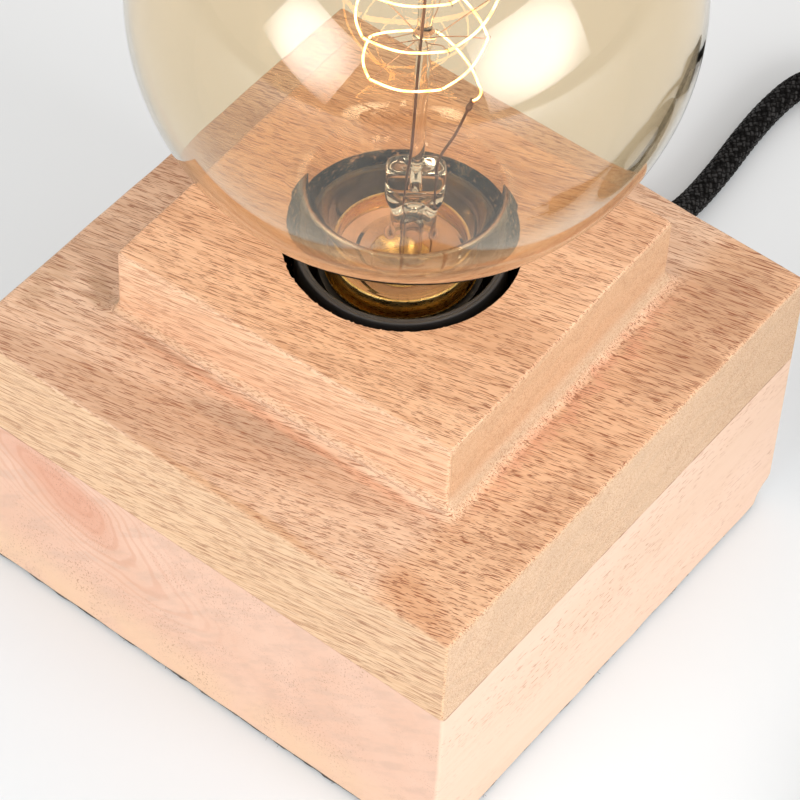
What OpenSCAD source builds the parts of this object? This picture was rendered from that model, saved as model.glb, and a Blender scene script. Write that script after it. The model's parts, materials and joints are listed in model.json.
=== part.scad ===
// Bare bulb table lamp: a two-board wooden block with a carved square and a bored hole, a screw lampholder
// sunk in the hole, a globe bulb that really unscrews, and a mains cord with an in-line switch and a plug.
// Millimetres, +Z up, origin at the centre of the underside. The cord leaves the back, at +Y.

/* [Wooden block] */
// Length of the block along X
block_w = 110; // [100:1:150]
// Depth of the block along Y
block_d = 108; // [100:1:150]
// Thickness of the lower board
lower_t = 41.2; // [38:0.2:60]
// Thickness of the upper board up to its ledge
upper_t = 21.8; // [14:0.2:40]
// Chamfer along the outer edges of the boards
edge_cut = 0.8; // [0.3:0.1:2]
// Thickness of the felt under the block
felt_t = 1; // [0.5:0.1:3]
// How far the felt stays back from the block's edges
felt_inset = 0.7; // [0.2:0.1:4]

/* [Carved square] */
// Height of the carved square above the ledge
step_h = 15.7; // [10:0.1:22]
// Length of the carved square along X
step_w = 74; // [60:0.5:90]
// Depth of the carved square along Y
step_d = 68; // [60:0.5:90]
// How far the square was turned as it was cut, in degrees
step_turn = 1.6; // [0:0.1:3]
// How far the square sits off the block's centre along X
step_x = -1.1; // [-3:0.1:3]
// How far the square sits off the block's centre along Y
step_y = 2.3; // [-3:0.1:3]
// Radius of the cove at the square's foot
cove_r = 3; // [1.5:0.1:5]
// Chamfer round the top of the square
step_cut = 0.5; // [0.2:0.1:1.5]

/* [Hollows in the wood] */
// Diameter of the hole bored for the lampholder
hole_d = 43.7; // [41:0.1:50]
// How far the hole's axis sits off the block's centre along Y
hole_y = 2.5; // [-3:0.1:4]
// Thickness of the wood left to carry the lampholder
web_t = 6; // [4:0.5:10]
// Diameter of the wiring hollow cut from below
hollow_d = 64; // [50:1:72]
// Side of the cover plate over the wiring hollow
plate_side = 80; // [78:1:90]
// Thickness of the cover plate
plate_t = 3; // [2:0.5:5]
// Gap all round the cover plate in its rebate
plate_gap = 0.3; // [0.1:0.1:1]
// Distance of the plate's screws from its middle, each way
plate_screw_at = 34; // [32:0.5:36]
// Shank diameter of the plate's screws
plate_screw_d = 3; // [2.5:0.1:4]
// Length of the plate's screws
plate_screw_l = 12; // [8:0.5:16]

/* [Lampholder] */
// How far the lampholder's rim lies below the top of the square
rim_drop = 0.9; // [0.5:0.1:5]
// Outside diameter of the lampholder
holder_d = 38.7; // [36:0.1:40.5]
// Height of the lampholder
holder_h = 50.5; // [48:0.5:58]
// Wall of the lampholder at its rim
holder_wall = 1.45; // [1:0.05:2]
// Height of the lampholder's lower body
holder_low_h = 18; // [17:0.5:22]
// Length of the neck that screws down into the lower body
holder_neck_l = 6; // [4:0.5:7]
// Thickness of the contact block's floor
block_floor_t = 8; // [6:0.5:9]
// Diameter of the threaded nipple
nipple_d = 10; // [9:0.5:11]
// Bore of the threaded nipple
nipple_bore = 7.2; // [6:0.1:7.6]
// How far the nipple reaches up into the lampholder
nipple_in = 8; // [6:0.5:9]
// Thickness of the washers on the nipple
washer_t = 1; // [0.5:0.1:2]
// Thickness of the nipple's nut
nut_t = 3; // [2:0.5:4]
// Width of the nipple's nut across flats
nut_flats = 14; // [13:0.5:17]

/* [Screw thread of the bulb] */
// Rise of the thread in one turn
thread_pitch = 3.629; // [3:0.001:4]
// Mean radius of the thread on the bulb's cap
thread_r = 12.63; // [12:0.01:12.8]
// Half the depth of the rounded thread
thread_half = 0.48; // [0.3:0.01:0.6]
// Gap between the two threads, all round
thread_gap = 0.3; // [0.25:0.01:0.4]
// Length of the thread on the bulb's cap
thread_l = 15.4; // [12:0.1:17]

/* [Bulb] */
// Diameter of the glass globe
globe_d = 97.2; // [90:0.1:108]
// Height of the globe's centre above the rim of its cap
globe_up = 63.2; // [62:0.1:80]
// Thickness of the glass
glass_t = 0.8; // [0.6:0.1:1.2]
// Radius of the bulb's neck where it leaves the cap
neck_r = 12.5; // [11.9:0.1:12.6]
// Radius of the hollow curve from the neck into the globe
flare_r = 16; // [10:1:20]
// How far the cap's rim lies below the top of the square
cap_drop = 2; // [0.5:0.1:2.4]
// Height of the cap, from its tip contact to its rim
cap_h = 26.5; // [26:0.1:27.2]
// How far the stem leans off the bulb's axis
stem_off = 1.2; // [0:0.1:1.4]
// Radius of the stem's tube
stem_r = 4.2; // [3.5:0.1:4.5]
// Height of the stem above the cap's rim
stem_h = 24.3; // [20:0.1:28]
// Radius of the glass rod
rod_r = 1.3; // [1:0.1:1.6]
// Height of the glass rod above the stem
rod_h = 68; // [60:0.5:72]
// Radius of the wires that hold the filament
support_r = 0.15; // [0.1:0.05:0.25]
// Radius of the two lead wires
lead_r = 0.35; // [0.25:0.05:0.5]

/* [Filament] */
// Radius of the filament
filament_r = 0.25; // [0.2:0.05:0.4]
// Turns of the filament round the rod
filament_turns = 4.5; // [3:0.5:6]
// Rise of the filament in one turn
filament_rise = 10.7; // [8:0.1:12]
// Height of the filament's foot above the cap's rim
filament_up = 42.3; // [40:0.1:48]
// Radius of the filament's first and last turn
filament_r0 = 10.2; // [8:0.1:12]
// How much wider its middle turns are
filament_swell = 3; // [0:0.1:4]

/* [Cord] */
// Diameter of the braided cord
cord_d = 5.7; // [5.4:0.1:6]
// Height of the cord's axis where it leaves the back
exit_z = 9; // [8.5:0.1:12]
// Radius of the strain relief at the wall
relief_r = 5; // [4.5:0.1:5.4]
// Length of the strain relief outside the wall
relief_l = 26; // [20:1:30]
// Gap between the cord and what it passes through
cord_gap = 0.05; // [0.02:0.01:0.2]
// Distance from one turn of the coil to the next, and from one layer to the next
coil_step = 6.2; // [6.1:0.05:7.2]
// Radius of the coil at the middle of its turns
coil_r = 32.7; // [31:0.1:36]
// Turns in the coil, in two layers
coil_turns = 7.04; // [5.04:1:7.04]
// Thickness of the tie round the coil
tie_t = 0.6; // [0.4:0.1:0.8]
// Width of the tie round the coil
tie_w = 9; // [6:0.5:14]

/* [In-line switch] */
// Length of the switch
switch_l = 62; // [60:0.5:70]
// Width of the switch
switch_w = 27; // [25:0.5:30]
// Height of the switch
switch_h = 18; // [17:0.5:20]
// Wall of the switch's shells
switch_wall = 2; // [1.5:0.1:2.2]
// Length of the rocker
rocker_l = 21.2; // [18:0.2:24]
// Width of the rocker
rocker_w = 11; // [9:0.2:12]
// Tilt of the rocker to each side of level, in degrees
rocker_tilt = 8; // [4:0.5:9]
// Radius of the rocker's pivot pin
pivot_r = 1; // [0.8:0.1:1.2]
// Running clearance round the pivot pin
pivot_gap = 0.06; // [0.02:0.01:0.1]

/* [Plug] */
// Length of the plug's body
plug_l = 36; // [32:0.5:40]
// Width of the plug's face
plug_w = 35.3; // [33:0.1:36]
// Height of the plug's face
plug_h = 13.7; // [13:0.1:14]
// Radius of the plug's pins
pin_r = 2; // [1.8:0.05:2.4]
// Distance between the pins' axes
pin_apart = 19; // [17:0.2:19]
// Length of the pins outside the plug
pin_l = 19; // [17:0.5:19]
// Length of the sleeve on each pin
sleeve_l = 9.5; // [8:0.5:10]

/* [Hidden] */

$fn = 64;
tiny = 0.02;       // clearance between fixed pieces that touch
air = 0.3;         // clearance between pieces that move past each other
over = 1;          // how far a cut runs past the face that it opens

// Heights, from the table up
lower_z = felt_t;
glue_z = lower_z + lower_t;
ledge_z = glue_z + upper_t;
top_z = ledge_z + step_h;
rim_z = top_z - rim_drop;
holder_z = rim_z - holder_h;
web_z = holder_z - washer_t;
hollow_z = web_z - web_t;
plate_z = lower_z + plate_t;
low_top_z = holder_z + holder_low_h;
cap_z = top_z - cap_drop;
tip_z = cap_z - cap_h;
globe_r = globe_d / 2;
globe_z = cap_z + globe_up;
stem_z = cap_z + stem_h;

module at_hole(z = 0) translate([0, hole_y, z]) children();

// A cylinder from one height to another
module post(r, z0, z1) translate([0, 0, z0]) cylinder(r = r, h = z1 - z0);
module tube(r_out, r_in, z0, z1) difference() {
    post(r_out, z0, z1);
    post(r_in, z0 - over, z1 + over);
}

// ---- Wooden block ----

// A board's cross-section, with its corners cut at the bottom, at the top or at both
module cut_square(w, h, c, at = [0, 1]) difference() {
    translate([-w / 2, 0]) square([w, h]);
    for (s = [-1, 1], k = at) translate([s * w / 2, k * h]) rotate(45) square(c * sqrt(2), center = true);
}
module along_x(l) rotate([90, 0, 90]) translate([0, 0, -l / 2]) linear_extrude(l) children();
module along_y(l) rotate([90, 0, 0]) translate([0, 0, -l / 2]) linear_extrude(l) children();

// The outer edges are cut, but not those along the glue line
module board(z, t, outer) translate([0, 0, z]) intersection() {
    along_y(block_d) cut_square(block_w, t, edge_cut, [outer]);
    along_x(block_w) cut_square(block_d, t, edge_cut, [outer]);
    translate([0, -block_d / 2, 0]) linear_extrude(t) cut_square(block_w, block_d, edge_cut);
}

// The carved square's cross-section, with a cove at each foot that just dips under the ledge
module step_section(w) {
    dip = 0.15;
    difference() {
        translate([-w / 2 - cove_r, -over]) square([w + 2 * cove_r, over + step_h]);
        for (s = [-1, 1]) translate([s * (w / 2 + cove_r - dip), cove_r - dip]) circle(cove_r);
        for (s = [-1, 1]) translate([s * (w / 2 + cove_r) - cove_r, cove_r - dip])
            square([2 * cove_r, step_h]);
        for (s = [-1, 1]) translate([s * w / 2, step_h]) rotate(45)
            square(step_cut * sqrt(2), center = true);
    }
}

module base_felt() color("#3a3634") translate([0, 0, felt_t / 2])
    cube([block_w - 2 * felt_inset, block_d - 2 * felt_inset, felt_t], center = true);

module plate_at(a) for (x = [-a, a], y = [-a, a]) translate([x, hole_y + y, 0]) children();

module cover_plate() color("#b08d62") difference() {
    translate([-plate_side / 2 + plate_gap, hole_y - plate_side / 2 + plate_gap, lower_z])
        cube([plate_side - 2 * plate_gap, plate_side - 2 * plate_gap, plate_t - tiny]);
    plate_at(plate_screw_at) {
        post(plate_screw_d / 2 + tiny, 0, plate_z + over);
        translate([0, 0, lower_z - tiny]) cylinder(r1 = plate_screw_d + 2 * tiny,
            r2 = plate_screw_d / 2 + tiny, h = plate_screw_d / 2 + 2 * tiny);
    }
}

module plate_screws() color("#c8c4bc") plate_at(plate_screw_at) {
    translate([0, 0, lower_z + tiny])
        cylinder(r1 = plate_screw_d, r2 = plate_screw_d / 2, h = plate_screw_d / 2);
    post(plate_screw_d / 2, lower_z + tiny, lower_z + plate_screw_l);
}

module lower_board() color("#f0c3a4") difference() {
    board(lower_z, lower_t, 0);
    translate([-plate_side / 2, hole_y - plate_side / 2, lower_z - over])
        cube([plate_side, plate_side, plate_t + over]);
    at_hole() {
        post(hollow_d / 2, lower_z, hollow_z);
        post(nipple_d / 2 + air / 2, lower_z, glue_z);
        post(hole_d / 2, web_z, glue_z + over);
    }
    plate_at(plate_screw_at) post(plate_screw_d / 2 + tiny, lower_z, lower_z + plate_screw_l + over / 2);
    translate([0, hole_y, exit_z]) rotate([-90, 0, 0]) cylinder(r = cord_d / 2 + 2 * cord_gap, h = block_d);
    translate([0, block_d / 2 - relief_neck_l, exit_z]) rotate([-90, 0, 0])
        cylinder(r = relief_neck_r + tiny, h = relief_neck_l + over);
}

module upper_board() color("#dda67c") difference() {
    union() {
        board(glue_z, upper_t, 1);
        translate([step_x, step_y, ledge_z]) rotate(step_turn) intersection() {
            along_y(step_d + 2 * cove_r) step_section(step_w);
            along_x(step_w + 2 * cove_r) step_section(step_d);
        }
    }
    at_hole() post(hole_d / 2, glue_z - over, top_z + over);
}

// ---- Lampholder ----

holder_r = holder_d / 2;
neck_out_r = holder_r - 2;
neck_in_r = neck_out_r - 1.25;
body_wall = 2;
lip_w = 1.3;        // the skirt's lip that carries the contact block
lip_t = 1;
boss_r = 7.2;
boss_h = nipple_in + 0.5;
floor_z = low_top_z - holder_neck_l + lip_t + block_floor_t;  // top of the contact block's floor
block_z = floor_z - block_floor_t;
shell_r = thread_r + thread_gap;                          // mean radius of the holder's thread
shell_out_r = shell_r + thread_half + 0.45;
shell_top_z = top_z - 5.2;
shell_z = floor_z + tiny;
shell_lip_r = 10.2;
terminal_h = 6;
terminal_x = 7.5;
terminal_w = 6.6;
wire_r = 1.1;
wire_z = block_z - terminal_h / 2;

module nipple() color("#c9a24a") at_hole() tube(nipple_d / 2, nipple_bore / 2,
    hollow_z - washer_t - nut_t - 1.5, holder_z + nipple_in);

module nipple_nut() color("#c9a24a") at_hole() difference() {
    translate([0, 0, hollow_z - washer_t - nut_t])
        cylinder(d = nut_flats / cos(30), h = nut_t - tiny, $fn = 6);
    post(nipple_d / 2 + tiny, 0, hollow_z);
}

module nipple_washers() color("#9c9a94") at_hole() {
    tube(nut_flats / 2 + 2, nipple_d / 2 + tiny, web_z + tiny, web_z + washer_t - tiny);
    tube(nut_flats / 2 + 2, nipple_d / 2 + tiny, hollow_z - washer_t + tiny, hollow_z - tiny);
}

module holder_body() color("#1f1d1d") at_hole() difference() {
    union() {
        translate([0, 0, holder_z]) cylinder(r1 = boss_r + 4, r2 = holder_r, h = 6);
        post(holder_r, holder_z + 6, low_top_z);
    }
    difference() {
        union() {
            translate([0, 0, holder_z + body_wall])
                cylinder(r1 = boss_r + 3, r2 = neck_out_r + tiny, h = 6);
            post(neck_out_r + tiny, holder_z + body_wall + 6, low_top_z + over);
        }
        post(boss_r, holder_z, holder_z + boss_h);
    }
    post(nipple_d / 2 + tiny, holder_z - over, low_top_z + over);
    translate([0, 0, holder_z + boss_h / 2 + 1]) rotate([-90, 0, 45])
        cylinder(r = 1.5 + tiny, h = boss_r + over);
}

module grub_screw() color("#8d8a86") at_hole(holder_z + boss_h / 2 + 1) rotate([-90, 0, 45])
    translate([0, 0, nipple_d / 2 + tiny]) cylinder(r = 1.5, h = boss_r - nipple_d / 2 + 0.8);

module holder_skirt() color("#1f1d1d") at_hole() difference() {
    union() {
        post(neck_out_r, low_top_z - holder_neck_l, low_top_z + 2);
        post(holder_r, low_top_z + tiny, rim_z);
    }
    post(neck_in_r - lip_w, low_top_z - holder_neck_l - over, rim_z + over);
    post(neck_in_r, block_z - tiny, rim_z + over);
    post(holder_r - holder_wall, low_top_z + 4, rim_z + over);
}

module contact_block() color("#2a2827") at_hole() difference() {
    union() {
        post(neck_in_r - tiny, block_z, floor_z);
        tube(shell_out_r + 1.2, shell_out_r + tiny, floor_z - tiny, shell_top_z - 1);
    }
    for (x = [-rivet_in_x, rivet_out_x]) translate([x, 0, 0])
        post(rivet_r + tiny, block_z - over, floor_z + over);
}

rivet_r = 1;
rivet_in_x = 8.6;
rivet_out_x = 11.8;
strip_t = 0.5;
strip_w = 6;
strip_rise = tip_z - air - floor_z - strip_t;

module contact_rivets() color("#c9a24a") at_hole() {
    translate([-rivet_in_x, 0, 0]) {
        post(rivet_r, block_z, floor_z + tiny + strip_t + 0.4);
        post(rivet_r + 0.8, floor_z + tiny + strip_t + tiny, floor_z + tiny + strip_t + 0.5);
    }
    translate([rivet_out_x, 0, 0]) {
        post(rivet_r, block_z, shell_z + strip_t + 0.4);
        post(rivet_r + 0.5, shell_z + strip_t + tiny, shell_z + strip_t + 0.5);
    }
}

// The springy strip under the bulb's tip, drawn from the side
module centre_contact() color("#d8b04e") at_hole(floor_z + tiny) difference() {
    rotate([90, 0, 0]) translate([0, 0, -strip_w / 2]) linear_extrude(strip_w)
        polygon([[-9.6, 0], [-6, 0], [-2.5, strip_rise], [2.5, strip_rise], [5.5, strip_rise / 3],
            [6, strip_rise / 3 + strip_t / 2], [2.8, strip_rise + strip_t], [-2.8, strip_rise + strip_t],
            [-6.2, strip_t], [-9.6, strip_t]]);
    translate([-rivet_in_x, 0, 0]) post(rivet_r + tiny, -over, over);
}

module terminals() color("#c9a24a") at_hole() for (s = [-1, 1]) difference() {
    translate([s > 0 ? terminal_x : -terminal_x - terminal_w, -terminal_w / 2, block_z - terminal_h])
        cube([terminal_w, terminal_w, terminal_h - tiny]);
    translate([s * (terminal_x + terminal_w / 2), 0, 0])
        post(1.3 + tiny, block_z - terminal_h - over, wire_z);
    translate([0, 0, wire_z]) rotate([0, 90 * s, 0])
        cylinder(r = wire_r + tiny, h = terminal_x + terminal_w - 2);
}

module terminal_screws() color("#8d8a86") at_hole() for (s = [-1, 1])
    translate([s * (terminal_x + terminal_w / 2), 0, 0]) {
        post(1.3, block_z - terminal_h - 0.5, wire_z - wire_r - tiny);
        post(2.2, block_z - terminal_h - 1.5, block_z - terminal_h - tiny);
    }

// ---- Thread ----

thread_sides = 24;
thread_cuts = 6;      // rings in one rise of the thread
collar_h = 5;         // height of the cap's plain collar
thread_z = cap_z - collar_h - thread_l;           // foot of the thread on the cap
function clamp01(v) = max(0, min(1, v));
// Radius of the rounded thread at a height and an angle, faded out to r_flat at both ends
function wave(z, a, r_mean) = r_mean + thread_half * cos(360 * (z - thread_z) / thread_pitch - a);
function faded(z, a, z0, z1, r_mean, r_flat) =
    let (k = clamp01(min(z - z0, z1 - z) / thread_pitch * 2)) k * wave(z, a, r_mean) + (1 - k) * r_flat;

// A skin turned from a closed loop of [height, radius, thread mean radius or 0] rows
module threaded_skin(loop, z0, z1, r_flat) {
    n = thread_sides;
    m = len(loop);
    pts = [for (row = loop, i = [0:n - 1]) let (a = 360 * i / n, z = row[0],
        r = row[2] == 0 ? row[1] : faded(z, a, z0, z1, row[2], r_flat)) [r * cos(a), r * sin(a), z]];
    tris = [for (j = [0:m - 1], i = [0:n - 1]) let (a = j * n + i, b = j * n + (i + 1) % n,
        c = ((j + 1) % m) * n + i, d = ((j + 1) % m) * n + (i + 1) % n)
        each [[a, c, b], [b, c, d]]];
    polyhedron(pts, tris, convexity = 12);
}
function thread_rows(z0, z1, r_mean) = let (k = round((z1 - z0) / thread_pitch * thread_cuts))
    [for (j = [0:k]) [z0 + (z1 - z0) * j / k, 0, r_mean]];
function backwards(v) = [for (i = [len(v) - 1:-1:0]) v[i]];

shell_thread_top = cap_z - collar_h - 0.4;
shell_mouth_r = shell_r + thread_half + 0.2;
module screw_shell() color("#d2ac52") at_hole() difference() {
    threaded_skin(concat(
        [[shell_z, shell_out_r - tiny, 0], [shell_top_z, shell_out_r - tiny, 0],
         [shell_top_z, shell_mouth_r, 0], [shell_thread_top + 0.3, shell_mouth_r, 0]],
        backwards(thread_rows(thread_z - 1, shell_thread_top, shell_r)),
        [[thread_z - 1.4, shell_r + thread_half, 0], [shell_z + strip_t, shell_r + thread_half, 0],
         [shell_z + strip_t, shell_lip_r, 0], [shell_z, shell_lip_r, 0]]),
        thread_z - 1, shell_thread_top, shell_r + thread_half);
    translate([rivet_out_x, 0, 0]) post(rivet_r + tiny, shell_z - over, shell_z + over);
}

// ---- Bulb ----

cap_in_r = thread_r - thread_half - 0.45;
cap_rim_r = thread_r + thread_half + 0.09;
cap_foot_z = thread_z - 1.8;
seal_z = thread_z + 8;                            // where the glass and the stem are melted together
seal_r = cap_in_r - 0.4;

module bulb_cap() color("#d2ac52") at_hole() threaded_skin(concat(
    [[cap_foot_z, 9.7, 0], [thread_z - 0.2, thread_r - thread_half, 0]],
    thread_rows(thread_z, thread_z + thread_l, thread_r),
    [[thread_z + thread_l + 0.2, thread_r - thread_half, 0], [thread_z + thread_l + 0.6, cap_rim_r, 0],
     [cap_z, cap_rim_r, 0], [cap_z, neck_r + tiny + 0.1, 0],
     [thread_z + thread_l + 1.2, neck_r + tiny + 0.1, 0], [thread_z + thread_l, cap_in_r, 0],
     [thread_z + 0.4, cap_in_r, 0], [cap_foot_z, 9.3, 0]]),
    thread_z, thread_z + thread_l, thread_r - thread_half);

module bulb_insulator() color("#17161a") at_hole() difference() {
    union() {
        translate([0, 0, tip_z + 1.2]) cylinder(r1 = 5.2, r2 = 9.2, h = cap_foot_z - tip_z - 1.2 + 0.5);
        post(9.2, cap_foot_z, cap_foot_z + 1);
    }
    post(4.8 + tiny, tip_z - over, tip_z + 1.2 + 0.8);
}

module bulb_tip() color("#c4c0b6") at_hole() {
    translate([0, 0, tip_z]) cylinder(r1 = 3.6, r2 = 4.8, h = 0.8);
    post(4.8, tip_z + 0.8, tip_z + 1.2 + 0.7);
}

// The globe, its neck and the hollow curve between them, as one half section drawn t inside the outer face
module glass_section(t) {
    r = globe_r - t;
    n = neck_r - t;
    f = flare_r + t;
    flare_z = globe_z - sqrt(pow(r + f, 2) - pow(n + f, 2));
    meet = r / (r + f);
    meet_r = (n + f) * meet;
    meet_z = globe_z - (globe_z - flare_z) * meet;
    intersection() {
        union() {
            translate([0, globe_z]) circle(r, $fn = 128);
            difference() {
                polygon([[0, flare_z - tiny], [n + f, flare_z - tiny], [meet_r, meet_z + tiny],
                    [0, meet_z + tiny]]);
                translate([n + f, flare_z]) circle(f, $fn = 128);
            }
            polygon([[0, seal_z - 2 * t], [seal_r - t, seal_z - 2 * t], [seal_r - t, cap_z - 5.4],
                [n, cap_z - 3.6], [n, flare_z + tiny], [0, flare_z + tiny]]);
        }
        translate([0, seal_z - 2 * t]) square([globe_r + over, globe_z + globe_r - seal_z + 2 * t]);
    }
}

module bulb_glass() color([0.93, 0.84, 0.62, 0.4]) at_hole() rotate_extrude() difference() {
    glass_section(0);
    glass_section(glass_t);
}

// The stem stands off the bulb's axis, towards the right of the view
stem_at = stem_off * [0.79, 0.62, 0];
press_w = 10.8;
press_t = 5.2;
press_h = 8;
module on_stem() translate([stem_at[0], hole_y + stem_at[1], 0]) children();
view_turn = 38;       // the press faces the view, so its wide side is turned this far from X

// Half section of the flare at the stem's foot, which spreads faster and faster towards the seal
flare_h = 17;
flare_steps = 8;
function flare_out(u) = stem_r + (seal_r - glass_t - tiny - stem_off - stem_r) * pow(1 - u, 2.6);
module flare_section(t) polygon(concat([[0, seal_z - 2 * t]],
    [for (i = [0:flare_steps]) let (u = i / flare_steps) [flare_out(u) - t, seal_z + flare_h * u - 2 * t]],
    [[0, seal_z + flare_h - 2 * t]]));

module bulb_stem() color([0.9, 0.85, 0.75, 0.5]) difference() {
    union() {
        on_stem() rotate_extrude() flare_section(0);
        on_stem() post(stem_r, seal_z + flare_h - tiny, stem_z - press_h + over);
        on_stem() translate([0, 0, stem_z - press_h]) rotate(view_turn) intersection() {
            translate([-press_w / 2, -press_t / 2, 0]) cube([press_w, press_t, press_h]);
            cylinder(r = press_w / 2, h = press_h);
        }
        at_hole() post(seal_r - glass_t - tiny, seal_z, seal_z + 1.2);
    }
    on_stem() {
        rotate_extrude() flare_section(stem_wall);
        post(stem_r - stem_wall, seal_z + flare_h - 2 * stem_wall - tiny, stem_z - press_h - 2);
        post(rod_r + tiny, stem_z - 1.5, stem_z + over);
        translate([0, 0, stem_z - press_h / 2]) rotate([90, 0, view_turn]) cylinder(r = 1.1, h = press_t);
        for (s = [-1, 1]) rotate(view_turn) translate([s * lead_x, 0, 0])
            post(lead_r + tiny, seal_z - over, stem_z + over);
    }
}

stem_wall = 0.9;
lead_x = 3.4;
// The tube that the bulb was emptied through, sealed off inside the cap
module exhaust_tube() color([0.9, 0.82, 0.75, 0.5]) on_stem() difference() {
    union() {
        post(exhaust_r, tip_z + 8, stem_z - press_h - 2 - tiny);
        translate([0, 0, tip_z + 8]) sphere(r = exhaust_r);
    }
    post(exhaust_r - 0.6, tip_z + 8, stem_z);
}
exhaust_r = 1.9;

button_r = rod_r + 0.4;
button_zs = [stem_z + rod_h * 0.42, stem_z + rod_h - 0.4];
module glass_rod() color([0.95, 0.8, 0.65, 0.6]) on_stem() {
    post(rod_r, stem_z - 1.5 + tiny, stem_z + rod_h);
    for (z = button_zs) translate([0, 0, z]) sphere(r = button_r);
}

// Filament: a wound wire that rises round the rod, widest at its middle
filament_z = cap_z + filament_up;
filament_steps = 16;
function filament_at(t) = let (a = view_turn + 360 * t,
    r = filament_r0 + filament_swell * sin(180 * t / filament_turns))
    [r * cos(a), r * sin(a), filament_z + filament_rise * t];
filament_path = [for (i = [0:filament_steps * filament_turns]) filament_at(i / filament_steps)];

module filament() color("#ffb34d") on_stem() sweep(filament_path, filament_r, 6, [0, 0, 1]);

// One wire stands up beside the rod to the filament's top end, the other leans out to its foot
lead_near = -button_r - lead_r - 0.15;
lead_top = filament_at(filament_turns);
module lead_wires() color("#8a6a52") on_stem() {
    sweep([turned(-lead_x, seal_z + 4), turned(-lead_x, stem_z + 3),
        turned(-lead_x + 0.5, stem_z + 8), turned(lead_near, stem_z + 14),
        turned(lead_near, lead_top[2] - 7), turned(lead_near - 2, lead_top[2] - 3),
        turned(-filament_r0 + 2, lead_top[2] - 1), turned(-filament_r0 + filament_r, lead_top[2] - lead_r)],
        lead_r, 8, [sin(view_turn), -cos(view_turn), 0]);
    sweep([turned(lead_x, seal_z + 4), turned(lead_x, stem_z + 1), turned(lead_x + 0.8, stem_z + 3.5),
        turned(filament_r0, filament_z - 6), turned(filament_r0, filament_z - filament_r - tiny)],
        lead_r, 8, [sin(view_turn), -cos(view_turn), 0]);
}
function turned(x, z) = [x * cos(view_turn), x * sin(view_turn), z];

// A straight wire between two points
module strut(a, b, r) {
    d = b - a;
    l = norm(d);
    translate(a) rotate([0, acos(d[2] / l), atan2(d[1], d[0])]) cylinder(r = r, h = l);
}
support_turn = 0.4;   // from one support to the next, in turns of the filament
support_ts = [for (t = [support_turn:support_turn:filament_turns - support_turn + 0.1]) t];
module support_wires() color("#6b5d55") on_stem() for (t = support_ts) {
    button = [0, 0, button_zs[t < filament_turns / 2 ? 0 : 1]];
    along = unit(filament_at(t) - button);
    clear_of_rod = (rod_r + 2 * support_r) / norm([along[0], along[1]]);
    strut(button + along * max(button_r + tiny, clear_of_rod),
        filament_at(t) - along * (filament_r + support_r / 2), support_r);
}

// ---- Cord ----

cord_r = cord_d / 2;
cord_sides = 10;
relief_wall = 0.8;    // wall of a strain relief at its thin end
relief_flange_t = 2;
relief_neck_r = cord_r + 1.3;
relief_neck_l = 8;
relief_end_y = block_d / 2 + relief_l;

// A tube swept along points; each ring stands square to the way from its neighbours
function unit(v) = v / norm(v);
function way(p, i, first, last) = let (n = len(p))
    i == 0 ? (first == undef ? unit(p[1] - p[0]) : unit(first))
    : i == n - 1 ? (last == undef ? unit(p[n - 1] - p[n - 2]) : unit(last))
    : unit(unit(p[i] - p[i - 1]) + unit(p[i + 1] - p[i]));
module sweep(path, r, sides, ref = [0, 0, 1], first = undef, last = undef) {
    n = len(path);
    rings = [for (i = [0:n - 1])
        let (t = way(path, i, first, last), s = unit(cross(t, ref)), u = cross(s, t))
        each [for (k = [0:sides - 1]) let (a = 360 * k / sides) path[i] + r * (cos(a) * s + sin(a) * u)]];
    walls = [for (i = [0:n - 2], k = [0:sides - 1]) let (a = i * sides + k, b = i * sides + (k + 1) % sides)
        each [[a, b, a + sides], [b, b + sides, a + sides]]];
    ends = concat([for (k = [1:sides - 2]) [0, k + 1, k]],
        [for (k = [1:sides - 2]) [(n - 1) * sides, (n - 1) * sides + k, (n - 1) * sides + k + 1]]);
    polyhedron(rings, concat(walls, ends), convexity = 12);
}

// Where the switch lies: its cord side, along X
switch_x = 75;
switch_y = 161;
split_z = 8.6;        // the switch's cord holes and the parting of its shells

// The plug's axis, and how long the cord's end and the plug's own relief are
plug_z = plug_h / 2 + 0.3;
plug_relief_l = 20;
cord_end_l = 24;

// The coil: it winds in along the table and out again on top of itself
coil_at = [109.5, 97];
coil_z = cord_r + tie_t + 0.3;
coil_half = coil_turns / 2;
coil_out_r = coil_r + coil_step * coil_half / 2;
coil_rings = 24;
function coil_point(t) = let (a = -360 * t, r = coil_out_r - coil_step * (coil_half - abs(coil_half - t)))
    [coil_at[0] + r * cos(a), coil_at[1] + r * sin(a),
        coil_z + coil_step * clamp01((t - coil_half) * 2 + 0.5)];
coil_start = coil_point(0) + [0, cord_d, 0];
plug_way = [sin(-360 * coil_turns), -cos(-360 * coil_turns), 0];
coil_stop = coil_point(coil_turns) + plug_way * cord_d;
coil_count = round(coil_rings * coil_turns);
coil_path = concat([coil_start], [for (i = [0:coil_count]) coil_point(coil_turns * i / coil_count)],
    [coil_stop]);

// From the strain relief down to the table, past the edge of the view, and round to the switch
cord_out_path = [[0, relief_end_y, exit_z], [0.1, 92, 6.3], [0.15, 104, 3.4], [-0.6, 116, 2.95],
    [-2, 128.5, 2.95], [-2.55, 139, 2.95], [-1.6, 148.3, 2.95], [2, 154.8, 2.95], [8.5, 159.4, 2.95],
    [17, switch_y, 3.3], [26, switch_y, 4.8], [35, switch_y, 7.3],
    [switch_x - switch_l / 2, switch_y, split_z]];
// From the switch round to the coil
cord_mid_path = [[switch_x + switch_l / 2, switch_y, split_z], [117, switch_y, 6.6],
    [128, switch_y - 0.6, 4], [139, 156.6, 2.95], [147, 149.5, 3.1], [151.9, 140.5, 3.5],
    [coil_start[0], 130, coil_z], [coil_start[0], 117, coil_z], coil_start];
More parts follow.
